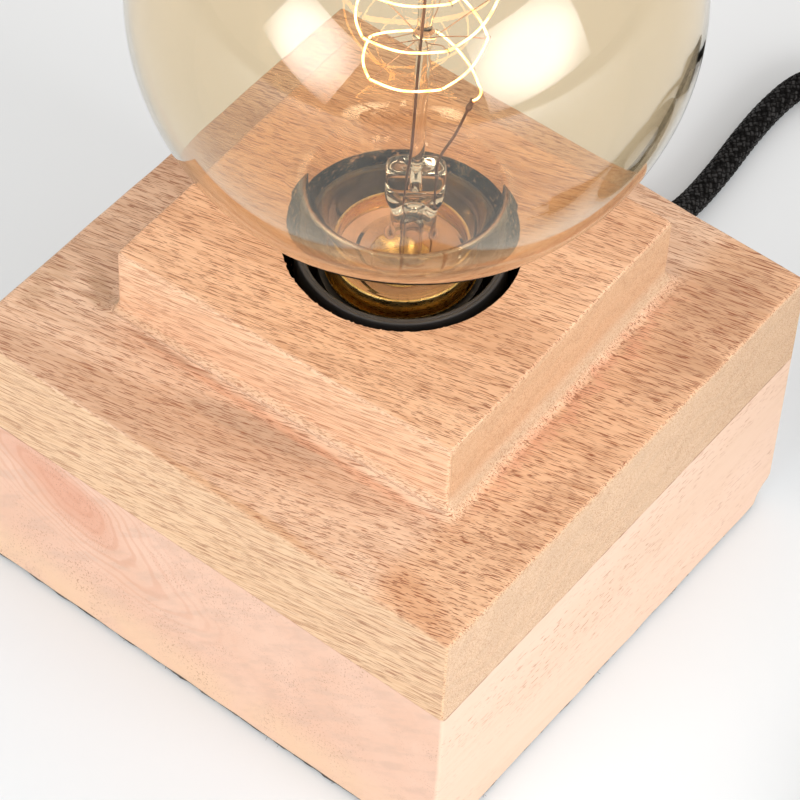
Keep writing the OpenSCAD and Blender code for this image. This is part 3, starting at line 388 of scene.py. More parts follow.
def tube_rings(path, radius, sides):
    """Rings along a path that don't twist. radius is a number or a function of ring, side and way along."""
    path = np.asarray(path, float)
    ways = np.gradient(path, axis=0)
    ways /= np.linalg.norm(ways, axis=1)[:, None]
    along = np.concatenate([[0], np.cumsum(np.linalg.norm(np.diff(path, axis=0), axis=1))])
    up = np.array([0, 0, 1.0]) if abs(ways[0][2]) < 0.9 else np.array([0, 1.0, 0])
    u = up - ways[0] * (up @ ways[0])
    angles = np.arange(sides) * TURN / sides
    rings = []
    for j, way in enumerate(ways):
        u = u - way * (u @ way)
        u /= np.linalg.norm(u)
        v = np.cross(way, u)
        r = radius(angles / TURN, along[j]) if callable(radius) else np.full(sides, radius)
        rings.append(path[j] + r[:, None] * (np.cos(angles)[:, None] * u + np.sin(angles)[:, None] * v))
    return rings, list(along)


def add_wire(form, points, step, radius, sides, mapped=False):
    """Adds a wire with closed ends along a smooth path through points; returns the form."""
    rings, along = tube_rings(smooth_path(points, step), radius, sides)
    return form.add(rings, capped=True, rows=along if mapped else None)


# ---- Materials ----

class Nodes:
    """A tree of nodes, built up node by node. A value is a number, a tuple or another node's output."""

    def __init__(self, tree):
        self.tree = tree

    def feed(self, socket, value):
        if isinstance(value, bpy.types.NodeSocket):
            self.tree.links.new(value, socket)
        elif value is not None:
            socket.default_value = value

    def node(self, kind, inputs=(), out=0, **settings):
        made = self.tree.nodes.new("ShaderNode" + kind)
        for key, value in settings.items():
            setattr(made, key, value)
        for key, value in dict(inputs).items():
            self.feed(made.inputs[key], value)
        return made.outputs[out]

    def part(self, vector, axis):
        return self.node("SeparateXYZ", {0: vector}, out=axis)

    def sum(self, kind, a, b=None):
        return self.node("Math", {0: a, 1: b}, operation=kind)

    def times(self, a, b):
        return self.sum("MULTIPLY", a, b)

    def plus(self, a, b):
        return self.sum("ADD", a, b)

    def vector(self, kind, a, b):
        return self.node("VectorMath", {0: a, 1: b}, operation=kind)

    def scaled(self, vector, by):
        return self.vector("MULTIPLY", vector, by)

    def number(self, kind, a, b=None):
        """What is a number of one or two vectors, such as LENGTH or DISTANCE."""
        return self.node("VectorMath", {0: a, 1: b}, out="Value", operation=kind)

    def turned(self, vector, axis, degrees):
        return self.node("VectorRotate", {"Vector": vector, "Angle": math.radians(degrees)},
                         rotation_type=axis + "_AXIS")

    def noise(self, vector, scale=1.0, detail=2.0, rough=0.5, out=0):
        return self.node("TexNoise", {"Vector": vector, "Scale": scale, "Detail": detail, "Roughness": rough}, out)

    def stretched(self, vector, by, detail, rough=0.5, out=0):
        """Noise of another scale along each axis."""
        return self.noise(self.scaled(vector, by), 1, detail, rough, out)

    def astray(self, vector, by, detail, reach):
        """A way that strays from nought by up to half of reach."""
        noise = self.stretched(vector, by, detail, out=1)
        return self.scaled(self.vector("SUBTRACT", noise, (0.5, 0.5, 0.5)), reach)

    def band(self, value, low, high, to_low=0.0, to_high=1.0):
        """A smooth step of value from low to high."""
        return self.node("MapRange", {0: value, 1: low, 2: high, 3: to_low, 4: to_high},
                         interpolation_type="SMOOTHSTEP")

    def blend(self, share, a, b, kind="MIX"):
        return self.node("Mix", {0: share, 6: a, 7: b}, out=2, data_type="RGBA", blend_type=kind)


class Surface(Nodes):
    """One procedural material."""

    def __init__(self, name, **plain):
        self.material = bpy.data.materials.new(name)
        self.material.use_nodes = True
        super().__init__(self.material.node_tree)
        self.shader = self.tree.nodes["Principled BSDF"]
        self.out = self.tree.nodes["Material Output"]
        self.set(**plain)

    def set(self, **sockets):
        for name, value in sockets.items():
            self.feed(self.shader.inputs[name.replace("_", " ")], value)

    def place(self):
        return self.node("TexCoord", out="Object")

    def facing(self):
        """The surface's own normal in the object's axes."""
        return self.node("TexCoord", out="Normal")

    def sideways(self, axis, low=0.45, high=0.85):
        """1 where the surface faces along an axis, either way."""
        return self.band(self.sum("ABSOLUTE", self.part(self.facing(), axis)), low, high)

    def bump(self, height, distance, strength=1.0):
        return self.node("Bump", {"Height": height, "Distance": distance, "Strength": strength})


def shaded(rgba, by):
    """A colour made darker or lighter."""
    return tuple(min(1.0, c * by) for c in rgba[:3]) + (1,)


def moulded(name, rgba, rough=0.4, grain=900, depth=0.03, shine=0.5):
    """Moulded plastic: faint mottling, a fine pressed grain, and gloss that varies a little."""
    s = Surface(name, Specular_IOR_Level=shine)
    at = s.place()
    mottle = s.noise(at, 70, 3)
    fine = s.noise(at, grain, 2)
    s.set(Base_Color=s.blend(mottle, shaded(rgba, 0.8), shaded(rgba, 1.3)),
          Roughness=s.band(mottle, 0.3, 0.7, rough - 0.06, rough + 0.08),
          Normal=s.bump(fine, depth * MM))
    return s.material


def metal(name, rgba, rough=0.25, stretch=(1, 1, 1), tarnish=0.35, depth=0.01):
    """Bare metal: drawn or turned marks, and tarnish in soft patches."""
    s = Surface(name, Metallic=1.0)
    at = s.place()
    patches = s.noise(at, 160, 4, 0.6)
    marks = s.noise(s.scaled(at, stretch), 900, 3)
    s.set(Base_Color=s.blend(s.band(patches, 0.35, 0.75), rgba, shaded(rgba, 1 - tarnish)),
          Roughness=s.band(marks, 0.25, 0.75, rough - 0.08, rough + 0.12),
          Normal=s.bump(marks, depth * MM))
    return s.material


def grain_frame(s, turn, lift, front=None):
    """Place and the same place turned so that X runs along the grain and strays a little.
    front is the grain's own turn on faces towards -Y."""
    at = s.place()
    along = s.turned(s.turned(at, "Z", turn), "Y", lift)
    if front is not None:
        faces_front = s.band(s.part(s.facing(), "Y"), -0.5, -0.62)
        along = s.blend(faces_front, along, s.turned(at, "Y", front))
    return at, s.vector("ADD", along, s.astray(along, (9, 26, 26), 2, (0.0, 0.006, 0.006)))


def pores(s, along, stretch, low, key):
    """Open pores: short dashes along the grain, dots on end grain. 1 in a pore, 0 between."""
    at = s.vector("ADD", s.scaled(along, stretch), (key, key, key))
    return s.band(s.noise(at, 1, 1.5, 0.45), low, low + 0.06)


def patch(s, at, centre, turn, size):
    """A soft blot on the wood, seen from above: 1 in its middle, 0 outside."""
    near = s.turned(s.vector("SUBTRACT", at, tuple(c * MM for c in centre) + (0,)), "Z", -turn)
    near = s.scaled(near, (1 / MM / size[0], 1 / MM / size[1], 0))
    return s.band(s.number("LENGTH", near), 1.2, 0.45)


def dark_line(s, at, glue):
    """The joint between the boards: a thin broken line on the right, hardly there on the front."""
    off = s.sum("ABSOLUTE", s.sum("SUBTRACT", s.part(at, "Z"), glue))
    wavy = s.noise(at, 260, 2)
    line = s.times(s.band(off, 0.26 * MM, 0.06 * MM), s.band(wavy, 0.36, 0.6, 0.2, 0.85))
    right = s.band(s.sum("ABSOLUTE", s.part(s.facing(), "X")), 0.45, 0.85, 0.12, 1.0)
    left = s.band(s.part(at, "X"), -0.030, -0.046, 0.0, 0.6)
    return s.times(line, s.sum("MAXIMUM", right, left))


def burnt_bore(s, at, wood):
    """1 on the bored hole's wall, which the cutter burnt, with a ragged upper edge."""
    x, y, z = (s.part(at, k) for k in "XYZ")
    from_axis = s.number("LENGTH", s.node("CombineXYZ", {0: x, 1: s.sum("SUBTRACT", y, HOLE_Y)}))
    ragged = s.times(s.sum("SUBTRACT", s.noise(at, 700, 3), 0.5), 0.5 * MM)
    inside = s.band(s.plus(from_axis, ragged), wood.hole + 0.12 * MM, wood.hole + 0.02 * MM)
    below = s.band(s.plus(z, ragged), wood.top - 0.05 * MM, wood.top - 0.25 * MM)
    return s.times(inside, below)


def worked(s, at, hue, wood):
    """What the work left on both boards: the glue line and the burnt bore."""
    hue = s.blend(dark_line(s, at, wood.glue), hue, (0.16, 0.07, 0.03, 1))
    return s.blend(burnt_bore(s, at, wood), hue, (0.006, 0.005, 0.004, 1))


# Blots on the ledge: middle (mm), turn, half sizes (mm), how strong, colour
BLOTS = [
    ((1.8, -38.1), 9, (19, 3.4), 0.42, (0.44, 0.31, 0.22, 1)),
    ((-41.5, -31.3), -33, (7, 3.2), 0.5, (0.5, 0.3, 0.17, 1)),
    ((10, -53.4), 0, (26, 1.5), 0.4, (0.66, 0.33, 0.12, 1)),
    ((44, -49.6), -20, (12, 4), 0.42, (0.66, 0.3, 0.14, 1)),
    ((-52, -36), -75, (9, 3.5), 0.4, (0.5, 0.3, 0.17, 1)),
    ((-23.5, -34.6), 0.5, (12, 0.7), 0.45, (0.36, 0.17, 0.09, 1)),
    ((6, -34.9), 1.6, (38, 1.2), 0.28, (0.86, 0.37, 0.2, 1)),
    ((39.6, 4), 91.6, (36, 1.6), 0.5, (0.83, 0.42, 0.27, 1)),
    ((47, 34), 95, (26, 8), 0.5, (0.56, 0.33, 0.2, 1)),
    ((50, -18), 88, (20, 3), 0.3, (0.6, 0.34, 0.2, 1)),
]


def upper_wood(wood):
    """Open-pored tan wood: brown streaks along the grain on top, paler and yellower on its sides."""
    s = Surface("upper_wood", Specular_IOR_Level=0.3)
    at, along = grain_frame(s, -14, 3, 14)
    x, y, z = (s.part(at, k) for k in "XYZ")
    wide = s.stretched(along, (7, 62, 62), 2, 0.55)
    fine = s.stretched(along, (26, 520, 520), 3, 0.6)
    hair = s.stretched(along, (70, 2600, 2600), 2, 0.6)
    facing = s.facing()
    raised = s.band(z, wood.ledge + 0.5 * MM, wood.ledge + 2 * MM)
    front = s.times(s.band(s.part(facing, "Y"), -0.3, -0.7), raised)
    top = s.sum("MAXIMUM", s.band(s.part(facing, "Z"), 0.4, 0.9), front)
    end = s.sideways("X")
    level = s.sum("SUBTRACT", 1.0, raised)
    brown = s.band(s.plus(wide, s.times(raised, -0.05)), 0.42, 0.7)
    tan = s.blend(s.times(brown, 0.55), wood.upper_pale, wood.upper_brown)
    tan = s.blend(s.band(fine, 0.42, 0.7, 0, 0.34), tan, shaded(wood.upper_brown, 0.95))
    tan = s.blend(s.times(s.band(x, 0.034, 0.041), level), tan, (0.97, 0.88, 0.78, 1), "MULTIPLY")
    tan = s.blend(level, tan, (0.93, 1.0, 1.08, 1), "MULTIPLY")
    # painted shade: the raised square's front faces are darkened by a tenth, in grey
    tan = s.blend(s.times(front, 0.9), tan, (0.9, 0.9, 0.9, 1), "MULTIPLY")
    low = s.band(z, wood.ledge + 2.5 * MM, wood.ledge + 0.5 * MM)
    blotted = s.vector("ADD", at, s.astray(along, (60, 420, 420), 3, (0.012, 0.0035, 0.0)))
    for centre, turn, size, share, hue in BLOTS:
        mask = s.times(s.times(patch(s, blotted, centre, turn, size), low), share)
        tan = s.blend(mask, tan, hue)
    side = s.blend(s.band(fine, 0.45, 0.8, 0, 0.3), wood.upper_side, shaded(wood.upper_side, 0.85))
    rings = s.sum("SINE", s.plus(s.times(wide, 30), s.times(s.part(along, "Z"), 900)))
    ends = s.blend(s.band(rings, -0.4, 1.0, 0, 0.25), wood.upper_end, shaded(wood.upper_end, 0.8))
    ends = s.blend(s.times(s.band(y, 0.0, 0.05), 0.25), ends, shaded(wood.upper_end, 0.78))
    high = s.band(z, wood.ledge + 2 * MM, wood.ledge + 5 * MM)
    ends = s.blend(high, ends, (0.97, 0.87, 0.79, 1), "MULTIPLY")
    hue = s.blend(end, s.blend(top, side, tan), ends)
    hue = s.blend(s.band(hair, 0.46, 0.66, 0, 0.5), hue, (0.8, 0.66, 0.56, 1), "MULTIPLY")
    dashes = s.sum("MAXIMUM", pores(s, along, (210, 5800, 5800), 0.57, 3.0),
                   pores(s, along, (120, 3700, 3700), 0.625, 8.0))
    strong = s.plus(s.band(x, 0.02, 0.05, 0.7, 0.9),
                    s.band(z, wood.ledge - 1 * MM, wood.ledge - 3 * MM, 0.0, 0.1))
    strong = s.times(strong, s.band(end, 0.0, 1.0, 1.0, 0.6))
    strong = s.times(strong, s.band(s.part(facing, "Y"), -0.5, -0.62, 1.0, 0.72))
    hue = s.blend(s.times(dashes, strong), hue, wood.pore)
    hue = worked(s, at, hue, wood)
    relief = s.sum("SUBTRACT", s.times(fine, 0.5), dashes)
    s.set(Base_Color=hue, Roughness=s.band(fine, 0.3, 0.7, 0.5, 0.68), Normal=s.bump(relief, 0.07 * MM, 0.8))
    return s.material


# The knot's place on the front, its tilt and its half sizes
KNOT_AT = (-0.0325, -0.054, 0.0345)
KNOT_TILT = -22
KNOT_SIZE = (0.019, 0.0075)


def lower_wood(wood):
    """Fine pink wood, with a reddish knot high on the front left."""
    s = Surface("lower_wood", Specular_IOR_Level=0.3)
    at, along = grain_frame(s, 84, 4)
    wide = s.stretched(along, (8, 55, 55), 3, 0.55)
    fine = s.stretched(along, (30, 640, 640), 3, 0.6)
    pink = s.blend(s.band(wide, 0.35, 0.7, 0, 0.7), wood.lower_pink, (0.72, 0.445, 0.315, 1))
    curl = s.stretched(s.turned(at, "Y", 40), (120, 30, 420), 3, 0.6)
    pink = s.blend(s.band(curl, 0.42, 0.7, 0, 0.6), pink, shaded(wood.lower_pink, 0.82))
    low = s.times(s.band(s.part(at, "Z"), 0.016, 0.004), s.band(wide, 0.3, 0.6, 0.2, 0.7))
    pink = s.blend(low, pink, (0.80, 0.55, 0.36, 1))
    pale = s.blend(s.band(wide, 0.45, 0.75, 0, 0.7), wood.lower_pale, (0.66, 0.46, 0.33, 1))
    pale = s.blend(s.band(fine, 0.5, 0.8, 0, 0.25), pale, (0.62, 0.42, 0.29, 1))
    hue = s.blend(s.sideways("X"), pink, pale)
    stray = s.astray(at, (40, 5, 60), 3, (0.016, 0.0, 0.010))
    knot = s.turned(s.vector("ADD", s.vector("SUBTRACT", at, KNOT_AT), stray), "Y", KNOT_TILT)
    knot = s.scaled(knot, (1 / KNOT_SIZE[0], 0.0, 1 / KNOT_SIZE[1]))
    from_knot = s.number("LENGTH", knot)
    swirl = s.sum("SINE", s.times(from_knot, 26.0))
    front = s.band(s.part(at, "Y"), -0.050, -0.0535)
    reach = s.times(s.band(from_knot, 1.15, 0.25), front)
    hue = s.blend(s.times(reach, 0.8), hue, (0.68, 0.335, 0.22, 1))
    halo = s.times(s.times(s.band(from_knot, 2.6, 0.7), s.band(swirl, 0.0, 1.0)), front)
    hue = s.blend(s.times(halo, 0.42), hue, (0.62, 0.3, 0.19, 1))
    dots = pores(s, along, (420, 2600, 2600), 0.6, 5.0)
    patchy = s.band(s.stretched(along, (14, 80, 80), 2), 0.4, 0.7)
    hue = s.blend(s.times(s.times(dots, patchy), 0.7), hue, (0.44, 0.22, 0.14, 1))
    hue = worked(s, at, hue, wood)
    s.set(Base_Color=hue, Roughness=s.band(fine, 0.3, 0.7, 0.5, 0.66),
          Normal=s.bump(s.sum("SUBTRACT", s.times(fine, 0.4), dots), 0.03 * MM, 0.7))
    return s.material


def plywood():
    """Birch plywood for the cover plate, with its plies along the edge."""
    s = Surface("plywood")
    at = s.place()
    fine = s.stretched(at, (22, 480, 480), 3, 0.6)
    plies = s.band(s.sum("SINE", s.times(s.part(at, "Z"), TURN / (1.0 * MM))), -0.2, 0.2)
    side = s.sideways("Z", 0.6, 0.3)
    hue = s.blend(fine, (0.66, 0.46, 0.27, 1), (0.5, 0.32, 0.17, 1))
    hue = s.blend(s.times(plies, side), hue, (0.33, 0.2, 0.1, 1))
    s.set(Base_Color=hue, Roughness=s.band(fine, 0.3, 0.7, 0.55, 0.7), Normal=s.bump(fine, 0.04 * MM))
    return s.material


def felt_cloth(wood):
    """Pressed felt: matted fibres that run every way."""
    s = Surface("felt", Sheen_Weight=0.35, Sheen_Roughness=0.5, Roughness=0.95)
    at = s.place()
    matted = s.noise(at, 1400, 5, 0.7)
    patches = s.noise(at, 90, 3)
    hue = s.blend(matted, wood.felt_dark, shaded(wood.felt_dark, 2.6))
    s.set(Base_Color=s.blend(s.band(patches, 0.4, 0.7, 0, 0.4), hue, shaded(wood.felt_dark, 1.8)),
          Normal=s.bump(matted, 0.15 * MM))
    return s.material


def lets_lamps_through(s, tint):
    """Glass passes the lamps' light to what stands behind it, so its shadow is only tinted."""
    path = s.sum("MAXIMUM", s.node("LightPath", out="Is Shadow Ray"), s.node("LightPath", out="Is Diffuse Ray"))
    clear = s.node("BsdfTransparent", {"Color": tint})
    s.feed(s.out.inputs["Surface"], s.node("MixShader", {0: path, 1: s.shader.outputs[0], 2: clear}))
    return s.material


def blown_glass(name, rgba, waves, depth, scale=38):
    """Clear glass with the slow waves of blowing in it."""
    s = Surface(name, Transmission_Weight=1.0, IOR=1.5, Roughness=0.0, Specular_IOR_Level=0.9)
    at = s.place()
    slow = s.noise(at, scale, 2)
    s.set(Base_Color=s.blend(s.band(slow, 0.3, 0.7), rgba, shaded(rgba, waves)),
          Normal=s.bump(slow, depth * MM))
    return lets_lamps_through(s, rgba)


def braid_yarn(cord):
    """Braided yarn: each strand has fine twisted threads, a dull gloss along its crown, and a painted highlight that
    lightens its colour along the crown in patches.
    """
    s = Surface("braid", Sheen_Weight=0.03, Sheen_Roughness=0.4)
    uv = s.node("UVMap", uv_map="Along")
    u, v = s.part(uv, "X"), s.times(s.part(uv, "Y"), 1 / cord.lay)
    round_way = s.times(u, float(cord.strands))
    a, b = s.plus(round_way, v), s.sum("SUBTRACT", round_way, v)
    parity = s.sum("ABSOLUTE", s.sum("MODULO", s.plus(s.sum("FLOOR", a), s.sum("FLOOR", b)), 2.0))
    over = s.sum("GREATER_THAN", parity, 0.5)
    pick = lambda p, q: s.node("Mix", {0: over, 2: p, 3: q}, data_type="FLOAT")
    crown = pick(*(s.sum("SINE", s.times(s.sum("FRACT", k), math.pi)) for k in (b, a)))
    threads = pick(*(s.sum("SINE", s.times(k, 3 * TURN)) for k in (b, a)))
    fuzz = s.noise(s.place(), 2600, 3, 0.7)
    # painted highlight: the yarn's colour is lightened along each strand's crown and in noise patches, as if light
    # caught them
    lit = s.plus(s.times(crown, 0.75), s.times(fuzz, 0.35))
    glint_patches = s.band(s.noise(s.place(), 700, 2), 0.38, 0.66, 0.1, 1.0)
    shine = s.times(s.band(lit, 0.2, 1.0), glint_patches)
    s.set(Base_Color=s.blend(shine, shaded(cord.yarn, 0.45), shaded(cord.yarn, 2.0)),
          Roughness=s.band(crown, 0.2, 1.0, 0.85, 0.5),
          Specular_IOR_Level=s.times(s.band(crown, 0.3, 1.0, 0.05, 0.35), glint_patches),
          Normal=s.bump(s.plus(s.times(threads, 0.3), fuzz), 0.06 * MM))
    return s.material


def webbing():
    """Woven hook-and-loop strap: fine ribs across it."""
    s = Surface("webbing", Roughness=0.9, Sheen_Weight=0.3, Sheen_Roughness=0.5)
    at = s.place()
    ribs = s.sum("SINE", s.times(s.part(at, "Y"), TURN / (0.7 * MM)))
    fuzz = s.noise(at, 1800, 4, 0.7)
    s.set(Base_Color=s.blend(fuzz, (0.012, 0.012, 0.013, 1), (0.05, 0.05, 0.053, 1)),
          Normal=s.bump(s.plus(ribs, fuzz), 0.12 * MM))
    return s.material


def glowing_wire(bulb):
    """The lit filament, its glow a little paler in uneven patches."""
    s = Surface("filament", Roughness=0.6, Emission_Strength=bulb.glow_strength)
    uneven = s.noise(s.place(), 420, 2)
    s.set(Base_Color=s.blend(uneven, (0.5, 0.3, 0.15, 1), (0.3, 0.2, 0.1, 1)),
          Emission_Color=s.blend(s.band(uneven, 0.3, 0.7), bulb.glow, (1.0, 0.66, 0.3, 1)))
    return s.material


def dress(names, material):
    """Gives CAD nodes that keep their shape a better material."""
    for name in names:
        for slot in NODES[name].material_slots:
            slot.material = material


# ---- Operators ----

class LampOperator(bpy.types.Operator):
    """What the lamp's operators share."""
    bl_options = {"REGISTER", "UNDO"}
    wood = property(lambda self: bpy.context.scene.lamp_wood)
    holder = property(lambda self: bpy.context.scene.lamp_holder)
    bulb = property(lambda self: bpy.context.scene.lamp_bulb)
    cord = property(lambda self: bpy.context.scene.lamp_cord)
    stage = property(lambda self: bpy.context.scene.lamp_stage)


# The camera's place, the way it looks and its right-hand side, fitted to the block's straight edges
CAMERA_AT = (0.25551, -0.3542, 0.56899)
CAMERA_WAY = (-0.3679, 0.5168, -0.773)
CAMERA_RIGHT = (0.7865, 0.6165, 0.0379)


class LAMP_OT_camera(LampOperator):
    """Adds the camera, at the photograph's viewing angle"""
    bl_idname = "lamp.camera"
    bl_label = "Camera"

    def execute(self, context):
        data = bpy.data.cameras.new("camera")
        data.lens, data.sensor_width, data.sensor_fit = self.stage.lens, 36, "HORIZONTAL"
        data.clip_start, data.clip_end = 0.01, 50
        obj = bpy.data.objects.new("camera", data)
        context.scene.collection.objects.link(obj)
        way = Vector(CAMERA_WAY).normalized()
        up = Vector(CAMERA_RIGHT).cross(way).normalized()
        right = way.cross(up)
        obj.matrix_world = Matrix.Translation(CAMERA_AT) @ Matrix((right, up, -way)).transposed().to_4x4()
        context.scene.camera = obj
        return {"FINISHED"}


# Routes of the cord, in millimetres, as the solids follow them
EXIT = (0, 54, 9)
CORD_OUT = [EXIT, (0, 66, 9), (0, 80, 9), (0.1, 92, 6.3), (0.15, 104, 3.4), (-0.6, 116, 2.95), (-2, 128.5, 2.95),
            (-2.55, 139, 2.95), (-1.6, 148.3, 2.95), (2, 154.8, 2.95), (8.5, 159.4, 2.95), (17, 161, 3.3),
            (26, 161, 4.8), (35, 161, 7.3), (44, 161, 8.6), (52, 161, 8.6)]
CORD_MID = [(98, 161, 8.6), (106, 161, 8.6), (117, 161, 6.6), (128, 160.4, 4), (139, 156.6, 2.95),
            (147, 149.5, 3.1), (151.9, 140.5, 3.5), (153.112, 130, 3.75), (153.112, 117, 3.75)]
SWITCH_AT = (75, 161)
SPLIT_Z = 8.6              # the switch's cord holes and the parting of its shells
COIL_AT = (109.5, 97)
COIL_Z = 3.75
TAIL = 8                   # how far the cord reaches into the switch
PLUG_Z = 7.15
CORD_END = 24              # from the coil's end to the plug's relief
RELIEF = 20                # length of the plug's relief


def coil_point(cord, t):
    """A point of the coil after t turns, in millimetres: in along the table and out again on top."""
    half, step = cord.coil_turns / 2, cord.coil_step / MM
    r = cord.coil_radius / MM + step * half / 2 - step * (half - abs(half - t))
    climb = min(1, max(0, (t - half) * 2 + 0.5))
    return (COIL_AT[0] + r * math.cos(-TURN * t), COIL_AT[1] + r * math.sin(-TURN * t), COIL_Z + step * climb)


def plug_way(cord):
    a = -TURN * cord.coil_turns
    return (math.sin(a), -math.cos(a), 0)


def plug_at(cord, along=0.0, z=PLUG_Z):
    """A point on the plug's axis, in metres, from the near end of its relief."""
    end, way = coil_point(cord, cord.coil_turns), plug_way(cord)
    reach = cord.diameter / MM + CORD_END + along
    return (MM * (end[0] + way[0] * reach), MM * (end[1] + way[1] * reach), MM * z)


def long_route(cord):
    """The route from the switch through the coil into the plug, in millimetres."""
    way, d = plug_way(cord), cord.diameter / MM
    first, last = coil_point(cord, 0), coil_point(cord, cord.coil_turns)
    count = round(24 * cord.coil_turns)
    coil = [coil_point(cord, cord.coil_turns * i / count) for i in range(count + 1)]

    def beyond(reach, drop):
        return (last[0] + way[0] * (d + reach), last[1] + way[1] * (d + reach), last[2] - drop)

    return CORD_MID + [(first[0], first[1] + d, first[2])] + coil + [
        beyond(0, 0), beyond(8, 0.7), beyond(17, 2.5), beyond(CORD_END, last[2] - PLUG_Z),
        beyond(CORD_END + RELIEF + 3, last[2] - PLUG_Z)]


class LAMP_OT_cord(LampOperator):
    """Braids the cord along its whole route, with its strain relief and the strap round its coil"""
    bl_idname = "lamp.cord"
    bl_label = "Cord"

    def braid(self, depth):
        """Radius of a braid of strands that pass over and under each other."""
        cord = self.cord

        def radius(u, along):
            a, b = u * cord.strands + along / cord.lay, u * cord.strands - along / cord.lay
            over = (np.floor(a) + np.floor(b)) % 2 > 0.5
            ca, cb = np.sin(math.pi * (a % 1)), np.sin(math.pi * (b % 1))
            crown = np.where(over, cb * (0.55 + 0.45 * ca), ca * (0.55 + 0.45 * cb))
            return cord.diameter / 2 - depth + depth * crown
        return radius

    def strand(self, name, route, step, sides, depth, replaces, material):
        form = add_wire(Form(), np.array(route) * MM, step * MM, self.braid(depth), sides, True)
        form.piece(name, material, "lamp", "braid", replaces, sharp=80)

    def execute(self, context):
        yarn = braid_yarn(self.cord)
        inside = [(0, 24.5, 9), (0, 34, 9), (0, 44, 9), (0, 53.9, 9)]
        self.strand("cord_lead_in", inside, 0.8, 24, 0.14 * MM, ["cord_inside"], yarn)
        self.strand("cord_near", CORD_OUT, 0.3, 60, 0.2 * MM, ["cord_out"], yarn)
        self.strand("cord_long", long_route(self.cord), 0.8, 24, 0.14 * MM,
                    ["cord_mid", "cord_coil", "cord_end", "cord_tails"], yarn)
        self.relief()
        self.strap()
        return {"FINISHED"}

    def relief(self):
        """The tapered relief at the wall: a flange, then ribs that let it bend."""
        bore = self.cord.diameter / 2 / MM + 0.05
        rows = [(4.13, -8), (4.13, -0.05), (5.5, -0.02), (5.9, 0.35), (5.9, 1.5), (5.5, 2.0), (5.0, 2.3)]
        ribs, start, stop = 9, 3.0, 25.0
        for k in range(ribs):
            z, r = start + (stop - start) * k / ribs, 5.0 - 1.25 * k / ribs
            rows += [(r - 0.12, z), (r, z + 0.3), (r - 0.02, z + 1.4), (r - 0.5, z + 1.75), (r - 0.52, z + 2.1)]
        rows += [(3.6, 25.3), (3.45, 25.9), (bore, 26), (bore, -8)]
        rings = lathe_along(rows, 48, ((0, EXIT[1] * MM, EXIT[2] * MM), (0, 1, 0)))
        rubber = moulded("relief_rubber", (0.02, 0.02, 0.02, 1), 0.6, 1400, 0.05, 0.35)
        tidy_mesh(Form().add(rings, closed=True).piece("cord_relief", rubber, "lamp", "relief_black",
                                                       ["strain_relief"]), 40)

    def strap(self):
        """The strap round the coil's left side, closed over itself on top; in millimetres."""
        cord = self.cord
        reach = (cord.coil_radius + cord.coil_step * cord.coil_turns / 4 + cord.diameter / 2) / MM
        left, right = COIL_AT[0] - reach - 0.9, COIL_AT[0] - 17.49
        top, thick, half, corner = 13.7, 0.6, 4.5, 3.0

        def outline(inset):
            flat = rounded((right - left) / 2 - inset, top / 2 - inset, corner - inset, 9)
            return [((left + right) / 2 + x, top / 2 + z) for x, z in flat]

        outside, within = outline(0), outline(thick)
        rings = [[(x * MM, (COIL_AT[1] + s) * MM, max(z, 0.02) * MM) for x, z in pts]
                 for pts, s in ((outside, -half), (outside, half), (within, half), (within, -half))]
        form = Form().add(rings, closed=True)
        flap = []
        for x, lift in ((left + 5, 0.02), (left + 8, 0.03), (left + 16, 0.04), (left + 22, 0.1), (left + 24, 0.3)):
            z = top + lift
            flap.append([(x * MM, (COIL_AT[1] + y) * MM, (z + up) * MM)
                         for y, up in ((-half + 0.3, 0), (half - 0.3, 0), (half - 0.3, 0.5), (-half + 0.3, 0.5))])
        form.add(flap, capped=True)
        tidy_mesh(form.piece("coil_strap", webbing(), "lamp", "tie_black", ["coil_tie"]), 40)


def knocked_off(ring, wood, more=0.0):
    """Takes a little off the block's far right foot, where it was knocked."""
    out = []
    corner = Vector((wood.width / 2, wood.depth / 2, wood.felt))
    for p in ring:
        near = (Vector(p) - corner) / (5.5 * MM)
        bite = max(0.0, 1 - near.length) ** 1.3 * (1.9 * MM + more)
        out.append((p[0] - bite, p[1] - bite, p[2] + bite * 0.3 * (0.0009 < p[2] < 0.004)))
    return np.array(out)


